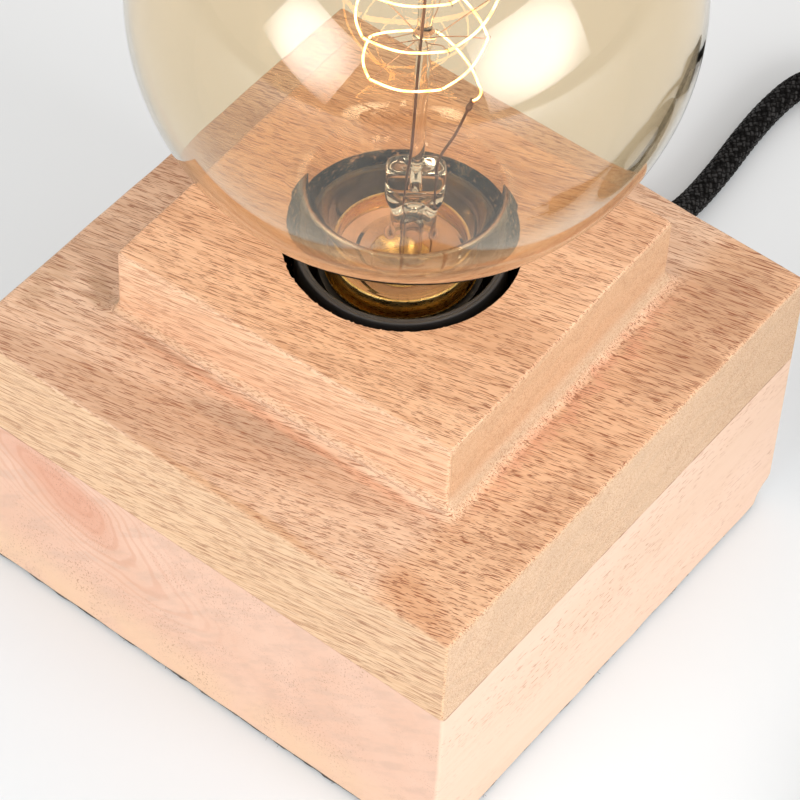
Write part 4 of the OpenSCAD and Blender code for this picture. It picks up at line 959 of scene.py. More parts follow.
class LAMP_OT_felt(LampOperator):
    """Cuts the felt, with the stray fibres along its edge"""
    bl_idname = "lamp.felt"
    bl_label = "Felt"

    def execute(self, context):
        wood = self.wood
        inset = 0.55 * MM

        def edge(shrink, z):
            ring = square_ring(wood.width - 2 * (inset + shrink), wood.depth - 2 * (inset + shrink), z, 0.8 * MM)
            moved = wander(ring, 0.35 * MM, 260, 4)
            moved = knocked_off(wander(moved, 0.18 * MM, 1100, 9), wood, 0.35 * MM)
            moved[:, 2] = z
            return moved

        rings = [edge(0.25 * MM, 0.0), edge(0.0, 0.25 * MM), edge(0.05 * MM, 0.75 * MM), edge(0.2 * MM, wood.felt)]
        form = Form().add(rings, capped=True)
        rng = random.Random(SEED)
        for _ in range(28):
            self.fibre(form, rng, wood)
        form.piece("felt_pad", felt_cloth(wood), "lamp", "felt", ["base_felt"], sharp=50)
        return {"FINISHED"}

    def fibre(self, form, rng, wood):
        """One fibre that sticks out of the felt's edge and curls along it."""
        side = rng.randrange(4)
        along = rng.uniform(-0.48, 0.48)
        out = Vector(((1, 0, 0), (0, 1, 0), (-1, 0, 0), (0, -1, 0))[side])
        lay = Vector((-out.y, out.x, 0)) * rng.choice((-1, 1))
        span, half = (wood.depth, wood.width / 2) if side % 2 == 0 else (wood.width, wood.depth / 2)
        start = out * (half - 1.0 * MM) + Vector((-out.y, out.x, 0)) * along * span
        start.z = rng.uniform(0.15, 0.8) * MM
        reach, run = rng.uniform(0.6, 1.25) * MM, rng.uniform(0.2, 1.2) * MM
        end = start + out * reach + lay * run
        end.z = rng.uniform(0.06, 0.5) * MM
        middle = (start + end) / 2 + lay * rng.uniform(-0.4, 0.4) * MM
        add_wire(form, [start, middle, end], 0.4 * MM, rng.uniform(0.02, 0.035) * MM, 4)


class LAMP_OT_boards(LampOperator):
    """Carves the two boards of the block"""
    bl_idname = "lamp.boards"
    bl_label = "Boards"

    def side(self, z, inset=0.0):
        wood = self.wood
        return square_ring(wood.width - 2 * inset, wood.depth - 2 * inset, z, max(wood.eased - inset, 0.1 * MM))

    def step(self, z, out=0.0):
        wood = self.wood
        return square_ring(wood.step_width + 2 * out, wood.step_depth + 2 * out, z, 1.1 * MM + max(out, 0) * 0.15,
                           (wood.step_x, wood.step_y), wood.step_turn)

    def upper(self):
        wood = self.wood
        e, c = 0.9 * MM, wood.cove
        rings = [round_ring(wood.hole, wood.glue), self.side(wood.glue, 0.12 * MM), self.side(wood.glue + 0.12 * MM)]
        rings.append(wander(self.side(wood.ledge - e), 0.10 * MM, 90, 1))
        for a in np.radians((22.5, 45, 67.5, 90)):
            ring = self.side(wood.ledge - e + e * math.sin(a), e * (1 - math.cos(a)))
            rings.append(wander(ring, 0.13 * MM, 110, 1))
        rings.append(wander(self.side(wood.ledge, 2.2 * MM), 0.05 * MM, 60, 1))
        rings.append(wander(self.step(wood.ledge, c + 0.9 * MM), 0.05 * MM, 60, 2))
        for a in np.radians(np.linspace(0, 90, 8)):
            out, up = c * (1 - math.sin(a)), c * (1 - math.cos(a))
            ring = self.step(wood.ledge - 0.15 * MM + up, out)
            rings.append(wander(ring, 0.07 * MM, 120, 2))
        rings.append(wander(self.step(wood.top - 1.2 * MM), 0.05 * MM, 80, 3))
        for a in np.radians((0, 30, 60, 90)):
            r = 0.85 * MM
            rings.append(wander(self.step(wood.top - r + r * math.sin(a), -r * (1 - math.cos(a))), 0.11 * MM, 110, 3))
        rings.append(wander(round_ring(wood.hole + 1.2 * MM, wood.top), 0.03 * MM, 60, 3))
        rings.append(self.ragged(wood.top, 1.0))
        rings.append(self.ragged(wood.top - 0.45 * MM, 0.6))
        rings.append(round_ring(wood.hole, wood.top - 1.6 * MM))
        return Form().add(rings, closed=True)

    def ragged(self, z, share):
        """The hole's upper edge: the cutter tore out small splinters, most on the front."""
        ring = round_ring(self.wood.hole, z)
        out = []
        for p in ring:
            a = math.atan2(p[1] - HOLE_Y, p[0])
            front = max(0.0, math.cos(a + math.radians(100))) ** 1.5
            tear = noise.noise(Vector((p[0] * 1500, p[1] * 1500, 3))) + 0.5 * noise.noise(
                Vector((p[0] * 3200, p[1] * 3200, 7)))
            slow = noise.noise(Vector((p[0] * 260, p[1] * 260, 1)))
            inward = (0.10 + 0.42 * front) * max(0.0, tear) * MM + 0.12 * slow * MM * (0.4 + front)
            scale = 1 - share * inward / self.wood.hole
            out.append((p[0] * scale, HOLE_Y + (p[1] - HOLE_Y) * scale, p[2]))
        return np.array(out)

    def lower(self):
        wood = self.wood
        foot = wood.felt
        plate = lambda z: square_ring(wood.plate, wood.plate, z, 0.5 * MM, (0, HOLE_Y))
        rings = [round_ring(wood.hollow, foot + 3 * MM), plate(foot + 3 * MM), plate(foot)]
        e = 0.8 * MM
        for a in np.radians((90, 60, 30, 0)):
            ring = self.side(foot + e * (1 - math.sin(a)), e * (1 - math.cos(a)))
            rings.append(wander(ring, 0.12 * MM, 130, 5))
        for z in (2, 3, 4.5, 6, 9):
            rings.append(wander(self.side(foot + z * MM), 0.06 * MM, 90, 5))
        rings = [knocked_off(ring, wood) for ring in rings]
        rings += [self.side(wood.glue - 0.12 * MM), self.side(wood.glue, 0.12 * MM),
                  round_ring(wood.hole, wood.glue), round_ring(wood.hole, wood.web_top),
                  round_ring(5.15 * MM, wood.web_top), round_ring(5.15 * MM, wood.web_foot),
                  round_ring(wood.hollow, wood.web_foot)]
        return Form().add(rings, closed=True)

    def execute(self, context):
        wood = self.wood
        self.upper().piece("board_upper", upper_wood(wood), "lamp", "wood_upper", ["upper_board"], 40, True)
        lower = self.lower().piece("board_lower", lower_wood(wood), "lamp", "wood_lower", ["lower_board"], 40, True)
        place = ((0, 0, EXIT[2] * MM), (0, 1, 0))
        for r, near in ((2.95, 20), (4.17, 46)):
            cut_away(lower, Form().add(lathe_along([(r, near), (r, 60)], 48, place), capped=True), 40)
        screw_holes = Form()
        for x in (-34, 34):
            for y in (-34, 34):
                screw_holes.add(lathe_mm([(1.52, 3), (1.52, 13.5)], 24, (x * MM, HOLE_Y + y * MM)), capped=True)
        cut_away(lower, screw_holes, 40)
        dress(["cover_plate"], plywood())
        return {"FINISHED"}


def threaded(rows, count, pitch, depth, foot):
    """Rings turned from (height, radius, thread) rows; where thread is over 0 the radius waves round it."""
    rings = []
    a = np.arange(count) * TURN / count
    for z, r, share in rows:
        wave = depth * np.cos(TURN * (z - foot) / pitch - a) if share else 0.0
        rings.append(np.stack([(r + share * wave) * np.cos(a), HOLE_Y + (r + share * wave) * np.sin(a),
                               np.full(count, z)], 1))
    return rings


def thread_rows(low, high, mean, flat, pitch, steps=14):
    """Rows of a thread that fades into a plain radius at both ends."""
    rows = []
    for z in np.linspace(low, high, max(2, round((high - low) / pitch * steps)) + 1):
        k = min(1.0, max(0.0, min(z - low, high - z) / pitch * 2))
        rows.append((z, k * mean + (1 - k) * flat, k))
    return rows


class LAMP_OT_holder(LampOperator):
    """Turns the lampholder: its skirt, its brass shell and its inner parts"""
    bl_idname = "lamp.holder"
    bl_label = "Lampholder"

    def execute(self, context):
        h = self.holder
        resin = moulded("holder_resin", h.body, 0.42, 1200, 0.02)
        R, inner, rim = h.radius, h.radius - h.wall, h.rim
        neck, neck_in, lip = 17.35 * MM, 16.1 * MM, 14.8 * MM
        e = 0.4 * MM
        profile = [(lip, 40.3 * MM), (neck - 0.3 * MM, 40.3 * MM), (neck, 40.6 * MM), (neck, h.joint - 0.05 * MM),
                   (R - 0.4 * MM, h.joint + 0.02 * MM), (R, h.joint + 0.4 * MM)]
        for k in range(5):
            z = h.joint + (3 + 1.6 * k) * MM
            profile += [(R, z), (R - 0.25 * MM, z + 0.25 * MM), (R - 0.25 * MM, z + 0.6 * MM), (R, z + 0.85 * MM)]
        profile += [(R, rim - 2 * MM)] + arc((R - e, rim - e), e, 0, 90, 5)
        middle = R - h.wall / 2
        profile += [(middle + 0.16 * MM, rim), (middle, rim - 0.1 * MM), (middle - 0.16 * MM, rim)]
        profile += arc((inner + e, rim - e), e, 90, 180, 5)
        profile += [(inner, 50.3 * MM), (neck_in, 50.3 * MM), (neck_in, h.block - 0.02 * MM),
                    (lip, h.block - 0.02 * MM)]
        skirt = Form().add(lathe(profile, 128), closed=True)
        tidy_mesh(skirt.piece("holder_skirt_turned", resin, "lamp", "holder_black", ["holder_skirt"]), 32)
        self.shell(h)
        for names, material in (
                (["holder_body"], resin),
                (["contact_block"], moulded("contact_ceramic", (0.022, 0.021, 0.021, 1), 0.5, 800, 0.05)),
                (["nipple", "nipple_nut", "terminals", "rocker_contact", "switch_contacts", "contact_rivets"],
                 metal("plain_brass", (0.72, 0.52, 0.22, 1), 0.32)),
                (["centre_contact"], metal("spring_brass", (0.8, 0.58, 0.25, 1), 0.28, (1, 6, 1))),
                (["nipple_washers"], metal("washer_steel", (0.55, 0.54, 0.52, 1), 0.35)),
                (["terminal_screws", "grub_screw", "plate_screws", "switch_screws", "rocker_pivot"],
                 metal("zinc", (0.62, 0.62, 0.6, 1), 0.3)),
                (["wire_live"], moulded("brown_insulation", (0.16, 0.06, 0.022, 1), 0.35)),
                (["wire_neutral", "switch_wires"], moulded("blue_insulation", (0.02, 0.075, 0.32, 1), 0.35)),
                (["cable_tie"], moulded("white_nylon", (0.72, 0.71, 0.66, 1), 0.45))):
            dress(names, material)
        return {"FINISHED"}

    def shell(self, h):
        """The pressed brass shell: a plain outside, a rounded thread inside and a flared mouth."""
        p, d, mean = h.pitch, h.thread, h.shell_radius
        foot, thread_foot, top = 49.32 * MM, 56.3 * MM, 72.3 * MM
        plain, mouth = 13.84 * MM, 13.61 * MM
        flat = mean + d
        rows = [(foot, plain, 0), (h.shell_top - 0.95 * MM, plain, 0), (h.shell_top - 0.6 * MM, plain + 0.12 * MM, 0),
                (h.shell_top - 0.1 * MM, plain + 0.42 * MM, 0), (h.shell_top, plain + 0.34 * MM, 0),
                (h.shell_top - 0.05 * MM, mouth + 0.45 * MM, 0), (h.shell_top - 0.6 * MM, mouth + 0.05 * MM, 0),
                (top + 0.3 * MM, mouth, 0)]
        rows += thread_rows(thread_foot, top, mean, flat, p)[::-1]
        rows += [(thread_foot - 0.4 * MM, flat, 0), (foot + 0.5 * MM, flat, 0), (foot + 0.5 * MM, 10.2 * MM, 0),
                 (foot, 10.2 * MM, 0)]
        rings = threaded(rows, 96, p, d, 57.3 * MM)
        brass = metal("shell_brass", h.brass, 0.2, (1, 1, 5), 0.25)
        tidy_mesh(Form().add(rings, closed=True).piece("shell_pressed", brass, "lamp", "shell_brass",
                                                        ["screw_shell"]), 45)


# The stem and the filament stand a little off the bulb's axis, both the same way
OFF_WAY = (0.79, 0.62)
STEM_AT = (1.7 * OFF_WAY[0] * MM, HOLE_Y + 1.7 * OFF_WAY[1] * MM)
FILAMENT_AT = (1.2 * OFF_WAY[0] * MM, HOLE_Y + 1.2 * OFF_WAY[1] * MM)
PRESS_TURN = math.radians(38)       # the way in which the stem's pinched top is wide
BUTTONS = (130.6, 169.6)            # heights of the rod's buttons, in millimetres
SUPPORT_TURN = 0.2                  # from one support to the next, in turns of the filament


def turned(x, z, y=0.0):
    """A point beside the stem's axis, in millimetres along and across the press, in metres."""
    c, s = math.cos(PRESS_TURN), math.sin(PRESS_TURN)
    return (STEM_AT[0] + (x * c - y * s) * MM, STEM_AT[1] + (x * s + y * c) * MM, z * MM)


def bent(*points):
    """Such points in a row, for a bent wire."""
    return [turned(*p) for p in points]


class LAMP_OT_bulb(LampOperator):
    """Blows the globe, makes its cap and the glass stem inside"""
    bl_idname = "lamp.bulb"
    bl_label = "Bulb"

    def skin(self, inset):
        """Rows of (radius, height) from the seal up the cone of the neck and over the globe, inset by inset."""
        b = self.bulb
        lean = math.radians(b.neck_lean)
        along, out = np.array([math.cos(lean), math.sin(lean)]), np.array([math.sin(lean), -math.cos(lean)])
        foot, globe = np.array([b.neck, b.cap_rim]), np.array([0.0, b.centre])
        start = foot + b.flare * out
        reach = (start - globe) @ along
        reach = -reach - math.sqrt(reach**2 - (start - globe) @ (start - globe) + (b.radius + b.flare) ** 2)
        centre = start + reach * along
        meet = math.degrees(math.atan2(b.centre - centre[1], centre[0]))
        foot = foot - inset * out
        rows = [(b.seal_radius - inset, b.seal - inset * 0.4), (b.neck - inset, b.seal + 0.9 * MM),
                (b.neck - inset, b.cap_rim - 0.6 * MM), tuple(foot + 0.4 * MM * along),
                tuple(foot + reach / 2 * along)]
        rows += arc(centre, b.flare + inset, 90 + b.neck_lean, 180 - meet, 16)
        rows += arc((0, b.centre), b.radius - inset, -meet, 90, 110)[1:]
        return rows

    def execute(self, context):
        b = self.bulb
        outer, inner = self.skin(0.0), self.skin(b.glass)
        outer[-1], inner[-1] = (0.0, outer[-1][1]), (0.0, inner[-1][1])
        amber = blown_glass("amber_glass", b.amber, 0.985, 0.02, 30)
        globe = Form().add(lathe(outer + inner[::-1], 160), closed=True).piece(
            "globe", amber, "bulb", "amber_glass", ["bulb_glass"])
        tidy_mesh(globe, 60)
        clear = blown_glass("stem_glass", b.clear, 0.98, 0.02, 120)
        self.stem(b, clear)
        self.rod(b, clear)
        tube = [(1.9, 59.2), (1.9, b.stem / MM - 9.9), (1.3, b.stem / MM - 9.9), (1.3, 59.2)]
        tidy_mesh(Form().add(lathe_mm(tube, 40, STEM_AT), closed=True).piece(
            "exhaust_drawn", clear, "bulb", "stem_glass", ["exhaust_tube"]), 50)
        self.cap(b)
        dress(["bulb_insulator"], moulded("black_glass", (0.012, 0.012, 0.016, 1), 0.12, 300, 0.01))
        dress(["bulb_tip"], metal("solder", (0.6, 0.59, 0.56, 1), 0.4, (1, 1, 1), 0.3, 0.06))
        return {"FINISHED"}

    def stem(self, b, glass):
        """The flared stem, pinched flat at its top round the wires, with its exhaust hole."""
        seal, top, r0, wall = b.seal / MM, b.stem / MM, b.stem_radius / MM, 0.9
        edge = b.seal_radius / MM - b.glass / MM - 0.25 - 1.2
        count = 72
        a = np.arange(count) * TURN / count

        def section(z, wide, deep, power=2.0):
            """A rounded section, flatter-sided with a higher power, turned to face the view."""
            x, y = wide * boxed(np.cos(a), 2 / power), deep * boxed(np.sin(a), 2 / power)
            return [turned(p, z, q) for p, q in zip(x, y)]

        outside = []
        for u in np.linspace(0, 1, 14):
            r = r0 + (edge - r0) * (1 - u) ** 2.6
            outside.append(section(seal + (82 - seal) * u, r, r))
        for z in (83, 85, 87):
            outside.append(section(z, r0, r0))
        for z, k in ((-11, 0.12), (-9.8, 0.4), (-8.8, 0.75), (-7.8, 0.95), (-6.8, 1.0), (-5, 1.0), (-3, 1.0),
                     (-1.6, 1.0)):
            outside.append(section(top + z, r0 + (5.4 - r0) * k, r0 + (2.7 - r0) * k, 2 + 1.6 * k))
        for z, k in ((-0.9, 0.97), (-0.4, 0.9), (-0.1, 0.78), (0.0, 0.5), (-0.15, 0.3)):
            outside.append(section(top + z, 5.4 * k, 2.7 * k, 3.6 - (1 - k)))
        within = []
        for u in np.linspace(0, 1, 14):
            r = r0 - wall + (edge - r0) * (1 - u) ** 2.6
            within.append(section(seal - 0.02 + (82 - seal) * u - 0.6 * (1 - u), r, r))
        for z, k in ((-16, 1.0), (-13, 1.0), (-11.5, 0.9), (-10.6, 0.65), (-10.2, 0.3)):
            within.append(section(top + z, (r0 - wall) * k, (r0 - wall) * k))
        form = Form().add(within[::-1] + outside, capped=True)
        stem = form.piece("stem_flared", glass, "bulb", "stem_glass", ["bulb_stem"])
        tidy_mesh(stem, 60)
        hole = [[turned(r * math.cos(k), top - 3.3 + r * math.sin(k), y) for k in a[::2]] for y, r in (
            (-4, 1.5), (-2.6, 1.4), (-1.9, 1.2), (-1, 1.1), (1, 1.1), (1.9, 1.2), (2.6, 1.4), (4, 1.5))]
        cut_away(stem, Form().add(hole, capped=True), 60)

    def rod(self, b, glass):
        """The glass rod, with the two buttons that the support wires are melted into."""
        r, foot, top = b.rod / MM, b.stem / MM - 1.4, b.rod_top / MM
        rows = [(0, foot), (r * 0.8, foot), (r, foot + 0.3)]
        z = foot + 0.6
        while z < top - 0.4:
            swell = max(max(0.0, 1 - ((z - k) / 1.9) ** 2) for k in BUTTONS)
            rows.append((r + 0.75 * swell ** 0.7, z))
            z += 0.22 if swell > 0 or any(abs(z - k) < 2.6 for k in BUTTONS) else 1.5
        rows += [(r + 0.35, top - 0.1), (r * 0.6, top + 0.35), (0, top + 0.45)]
        tidy_mesh(Form().add(lathe_mm(rows, 32, STEM_AT)).piece(
            "rod_drawn", glass, "bulb", "stem_glass", ["glass_rod"]), 60)

    def cap(self, b):
        """The screw cap: pressed thread, plain collar and rolled rim, open to the neck inside."""
        p, d, mean = self.holder.pitch, self.holder.thread, b.cap_radius
        foot, top, cap_foot = 57.3 * MM, 72.7 * MM, 55.5 * MM
        rim, flat, rim_r = b.cap_rim, b.cap_radius - self.holder.thread, 13.2 * MM
        rows = [(cap_foot, 9.7 * MM, 0), (foot - 0.9 * MM, flat - 0.9 * MM, 0), (foot - 0.2 * MM, flat, 0)]
        rows += thread_rows(foot, top, mean, flat, p)
        rows += [(top + 0.35 * MM, flat + 0.25 * MM, 0), (top + 0.6 * MM, rim_r - 0.15 * MM, 0),
                 (top + 0.9 * MM, rim_r - 0.02 * MM, 0), (rim - 0.5 * MM, rim_r - 0.02 * MM, 0),
                 (rim - 0.2 * MM, rim_r, 0), (rim - 0.03 * MM, rim_r - 0.1 * MM, 0), (rim, rim_r - 0.3 * MM, 0),
                 (rim - 0.05 * MM, rim_r - 0.5 * MM, 0), (rim - 0.3 * MM, 12.64 * MM, 0)]
        inner = [(z, r - 0.32 * MM, share) for z, r, share in thread_rows(foot, top, mean, flat, p)]
        rows += [(top + 1.2 * MM, 12.64 * MM, 0)] + inner[::-1] + [(foot - 0.6 * MM, flat - 0.75 * MM, 0),
                                                                    (cap_foot, 9.3 * MM, 0)]
        rings = threaded(rows, 96, p, d, foot)
        brass = metal("cap_brass", self.holder.brass, 0.28, (1, 1, 6), 0.2)
        eyelet = [(5.7, 74.0), (5.2, 74.35), (4.4, 73.6), (3.4, 71.4), (2.4, 71.0), (2.4, 70.7), (3.5, 70.9),
                  (4.7, 73.2)]
        form = Form().add(rings, closed=True).add(lathe_mm(eyelet, 96), closed=True)
        tidy_mesh(form.piece("cap_pressed", brass, "bulb", "cap_brass", ["bulb_cap"]), 45)
        lining = [(11.8, 58.6), (11.8, 72.8), (12.42, 74.0), (12.42, 74.55), (12.2, 74.6), (11.6, 74.15), (5.4, 73.7),
                  (5.2, 73.2), (11.2, 72.4), (11.2, 58.6)]
        dull = metal("cap_lining", (0.9, 0.63, 0.54, 1), 0.6, (1, 1, 3), 0.3, 0.05)
        dull.node_tree.nodes["Principled BSDF"].inputs["Metallic"].default_value = 0.1
        tidy_mesh(Form().add(lathe_mm(lining, 96), closed=True).piece("cap_lining", dull, "bulb", "cap_brass"), 40)


class LAMP_OT_filament(LampOperator):
    """Winds the glowing filament, with its lead wires and supports"""
    bl_idname = "lamp.filament"
    bl_label = "Filament"

    def at(self, t, sag=True):
        """A point of the filament after t turns; it bows in a little between its supports."""
        b = self.bulb
        r = b.filament_radius + b.filament_swell * math.sin(math.pi * t / b.filament_turns) ** 2
        half = TURN * SUPPORT_TURN / 2
        off = (TURN * t) % (2 * half) - half
        bow = 0.5 + 0.5 * math.cos(math.pi * off / half)
        r *= 1 - 0.4 * sag * (1 - math.cos(half) / math.cos(off))
        a = PRESS_TURN + TURN * t
        return Vector((FILAMENT_AT[0] + r * math.cos(a), FILAMENT_AT[1] + r * math.sin(a),
                       b.filament_foot + b.filament_rise * t - 0.35 * MM * bow * sag))

    def execute(self, context):
        b = self.bulb
        turns = b.filament_turns
        path = [self.at(i / 72) for i in range(round(72 * turns) + 1)]
        wound = lambda u, along: 0.2 * MM + 0.03 * MM * np.cos(TURN * (u + along / (0.55 * MM)))
        add_wire(Form(), path, 0.16 * MM, wound, 10, True).piece(
            "filament_wound", glowing_wire(b), "bulb", "filament", ["filament"], sharp=80)
        self.leads(b)
        self.supports(b)
        return {"FINISHED"}

    def leads(self, b):
        """One lead stands up beside the rod to the filament's top, the other leans out to its foot."""
        form = Form()
        top = b.filament_foot / MM + b.filament_rise / MM * b.filament_turns
        tall = bent((-1.9, 69.3, -0.6), (-1.9, 90, -0.6), (-1.6, 98, -1.5), (-1.25, 102.8, -2.2), (-1.0, 110, -2.2),
                    (-0.8, 124.6, -2.2), (-0.35, 141, -2.3), (-0.5, 152, -2.3), (-2.0, top - 8, -2.2),
                    (-5.5, top - 2, -1.2)) + [self.at(b.filament_turns, False)]
        lean = bent((3.3, 69.3), (3.3, 90), (3.4, 96.5), (4.0, 100.9), (6.4, 106.9), (8.2, 113.0), (8.6, 114.3))
        thinner = lambda u, s: np.full(len(u), (0.15 if s < 27 * MM else 0.26) * MM)
        for path in (tall, lean):
            add_wire(form, path, 0.8 * MM, thinner, 12)
        crimp = lambda u, s: np.full(len(u), (0.52 + 0.07 * math.sin(s / MM * 3)) * MM)
        add_wire(form, bent((8.3, 113.3), (8.6, 114.3), (9.0, 115.5)), 0.25 * MM, crimp, 14)
        wire = metal("lead_wire", (0.24, 0.135, 0.095, 1), 0.38, (1, 1, 4), 0.45)
        form.piece("leads_bent", wire, "bulb", "lead_wire", ["lead_wires"], sharp=50)
        tail = bent((8.9, 115.3), (9.9, 116.2), (10.3, 117.8)) + [self.at(0, False)]
        add_wire(Form(), tail, 0.2 * MM, 0.2 * MM, 8, True).piece(
            "filament_tail", glowing_wire(b), "bulb", "filament", sharp=80)

    def supports(self, b):
        """Thin wires from the rod's buttons out to the filament, each with a small hook round it."""
        form = Form()
        rng = random.Random(SEED)
        t = SUPPORT_TURN
        while t < b.filament_turns - 0.3:
            tip = self.at(t, False)
            button = Vector((STEM_AT[0], STEM_AT[1], BUTTONS[0 if t < b.filament_turns / 2 else 1] * MM))
            out = (tip - button).normalized()
            flat = Vector((out.x, out.y, 0)).normalized()
            start = button + flat * 1.5 * MM
            bend = Vector((-flat.y, flat.x, 0)) * rng.uniform(-0.7, 0.7) * MM
            middle = start.lerp(tip, 0.55) + bend + Vector((0, 0, rng.uniform(-0.9, 0.3) * MM))
            path = [button + flat * 0.6 * MM, start, middle]
            ahead = (self.at(t + 0.02) - self.at(t - 0.02)).normalized()
            over = flat.cross(ahead).normalized()
            for k in range(8):
                a = math.radians(200 - 45 * k)
                path.append(tip + (flat * math.cos(a) + over * math.sin(a)) * 0.42 * MM + ahead * 0.05 * MM * k)
            add_wire(form, path, 0.5 * MM, 0.1 * MM, 6)
            t += SUPPORT_TURN
        wire = metal("support_wire", (0.62, 0.4, 0.3, 1), 0.3, (1, 1, 3), 0.3)
        form.piece("supports_hooked", wire, "bulb", "lead_wire", ["support_wires"], sharp=70)


class LAMP_OT_switch(LampOperator):
    """Moulds the in-line switch with its rocker"""
    bl_idname = "lamp.switch"
    bl_label = "Switch"

    def level(self, flat, z):
        """Lays flat points, drawn round the switch's middle in millimetres, at a height."""
        return [((SWITCH_AT[0] + x) * MM, (SWITCH_AT[1] + y) * MM, (z + 0.1) * MM) for x, y in flat]

    def outline(self, z, inset):
        """The switch seen from above, at a height: softer towards its top and its foot."""
        c = self.cord
        w, d, h, edge = c.switch_length / MM, c.switch_width / MM, c.switch_height / MM, 4.0
        pull = edge - math.sqrt(edge**2 - max(0.0, edge - min(z, h - z)) ** 2)
        return self.level(rounded(w / 2 - pull - inset, d / 2 - pull - inset, 9.0 - 0.6 * pull - inset, 20), z)

    def shell(self, heights):
        """A closed shell through (height, inset) rows, up its outside and back down its inside."""
        return Form().add([self.outline(z, inset) for z, inset in heights], capped=True)

    def execute(self, context):
        c = self.cord
        plastic = moulded("switch_plastic", c.black, 0.36, 1500, 0.04)
        h, split = c.switch_height / MM, SPLIT_Z - 0.1
        low = [(0.02, 0.6), (0.25, 0.0)] + [(z, 0.0) for z in (0.8, 1.6, 2.6, 4.0, 6.0, split - 0.35)] + [(split, 0.3)]
        base = self.shell(low + [(split, 2.0), (4, 2.0), (2.4, 2.0), (2.1, 2.6)]).piece(
            "switch_lower_shell", plastic, "lamp", "switch_black", ["switch_base"])
        high = [(z, 2.0) for z in (h - 2.1, h - 4, split)] + [(split, 0.3), (split + 0.35, 0.0)]
        high += [(z, 0.0) for z in (12, 14, 15.4, 16.4, 17.2, 17.75, 17.95)]
        cover = self.shell(high).piece("switch_upper_shell", plastic, "lamp", "switch_black", ["switch_cover"])
        for obj in (base, cover):
            tidy_mesh(obj, 40)
        slot = [self.level(rounded(11.5 + grow, 6 + grow, 1.2, 7), z)
                for z, grow in ((h - 4, 0.0), (h - 0.7, 0.0), (h - 0.35, 0.15), (h + 1, 0.6))]
        cut_away(cover, Form().add(slot, capped=True), 40)
        for obj in (base, cover):
            for s in (-1, 1):
                place = (((SWITCH_AT[0] + s * 33) * MM, SWITCH_AT[1] * MM, SPLIT_Z * MM), (-s, 0, 0))
                cut_away(obj, Form().add(lathe_along([(2.9, 0), (2.9, 10.5)], 40, place), capped=True), 40)
            screw_holes = Form()
            for x, y in ((-19, -6), (19, 6)):
                at = ((SWITCH_AT[0] + x) * MM, (SWITCH_AT[1] + y) * MM)
                screw_holes.add(lathe_mm([(2.4, -1), (2.4, 2.05)], 32, at), capped=True)
            cut_away(obj, screw_holes, 40)
        self.rocker()
        return {"FINISHED"}

    def rocker(self):
        """The rocker, dished lengthwise and rounded at its ends, tilted to its ON side at rest."""
        pivot, half, tilt = 15.3, 21.2 / 2, math.radians(8)
        rings = []
        width = 11 / 2
        for y, drop in ((-width, 0.5), (-width + 0.15, 0.22), (-width + 0.45, 0.0), (-2, -0.02), (2, -0.02),
                        (width - 0.45, 0.0), (width - 0.15, 0.22), (width, 0.5)):
            ring = []
            for x in np.linspace(-half + drop * 0.6, half - drop * 0.6, 25):
                dish = 2.3 + 1.1 * (abs(x) / half) ** 1.6
                end = max(0.0, (abs(x) - half + 0.8) / 0.8)
                ring.append((x, dish - drop - 0.4 * end**2))
            ring += [(half - 0.4 - drop * 0.6, -1.6), (4, -3.4 + drop * 0.3), (-4, -3.4 + drop * 0.3),
                     (-half + 0.4 + drop * 0.6, -1.6)]
            out = []
            for x, z in ring:
                turned_x = x * math.cos(tilt) - z * math.sin(tilt)
                turned_z = x * math.sin(tilt) + z * math.cos(tilt)
                out.append(((SWITCH_AT[0] + turned_x) * MM, (SWITCH_AT[1] + y) * MM, (pivot + turned_z) * MM))
            rings.append(out)
        obj = Form().add(rings, capped=True).piece(
            "rocker_dished", moulded("rocker_plastic", (0.024, 0.024, 0.025, 1), 0.28, 1700, 0.02),
            "rocker", "rocker_black", ["switch_rocker"])
        tidy_mesh(obj, 38)


PINS_AT = ((-9.5 * MM, 0), (9.5 * MM, 0))     # the pins, off the plug's axis


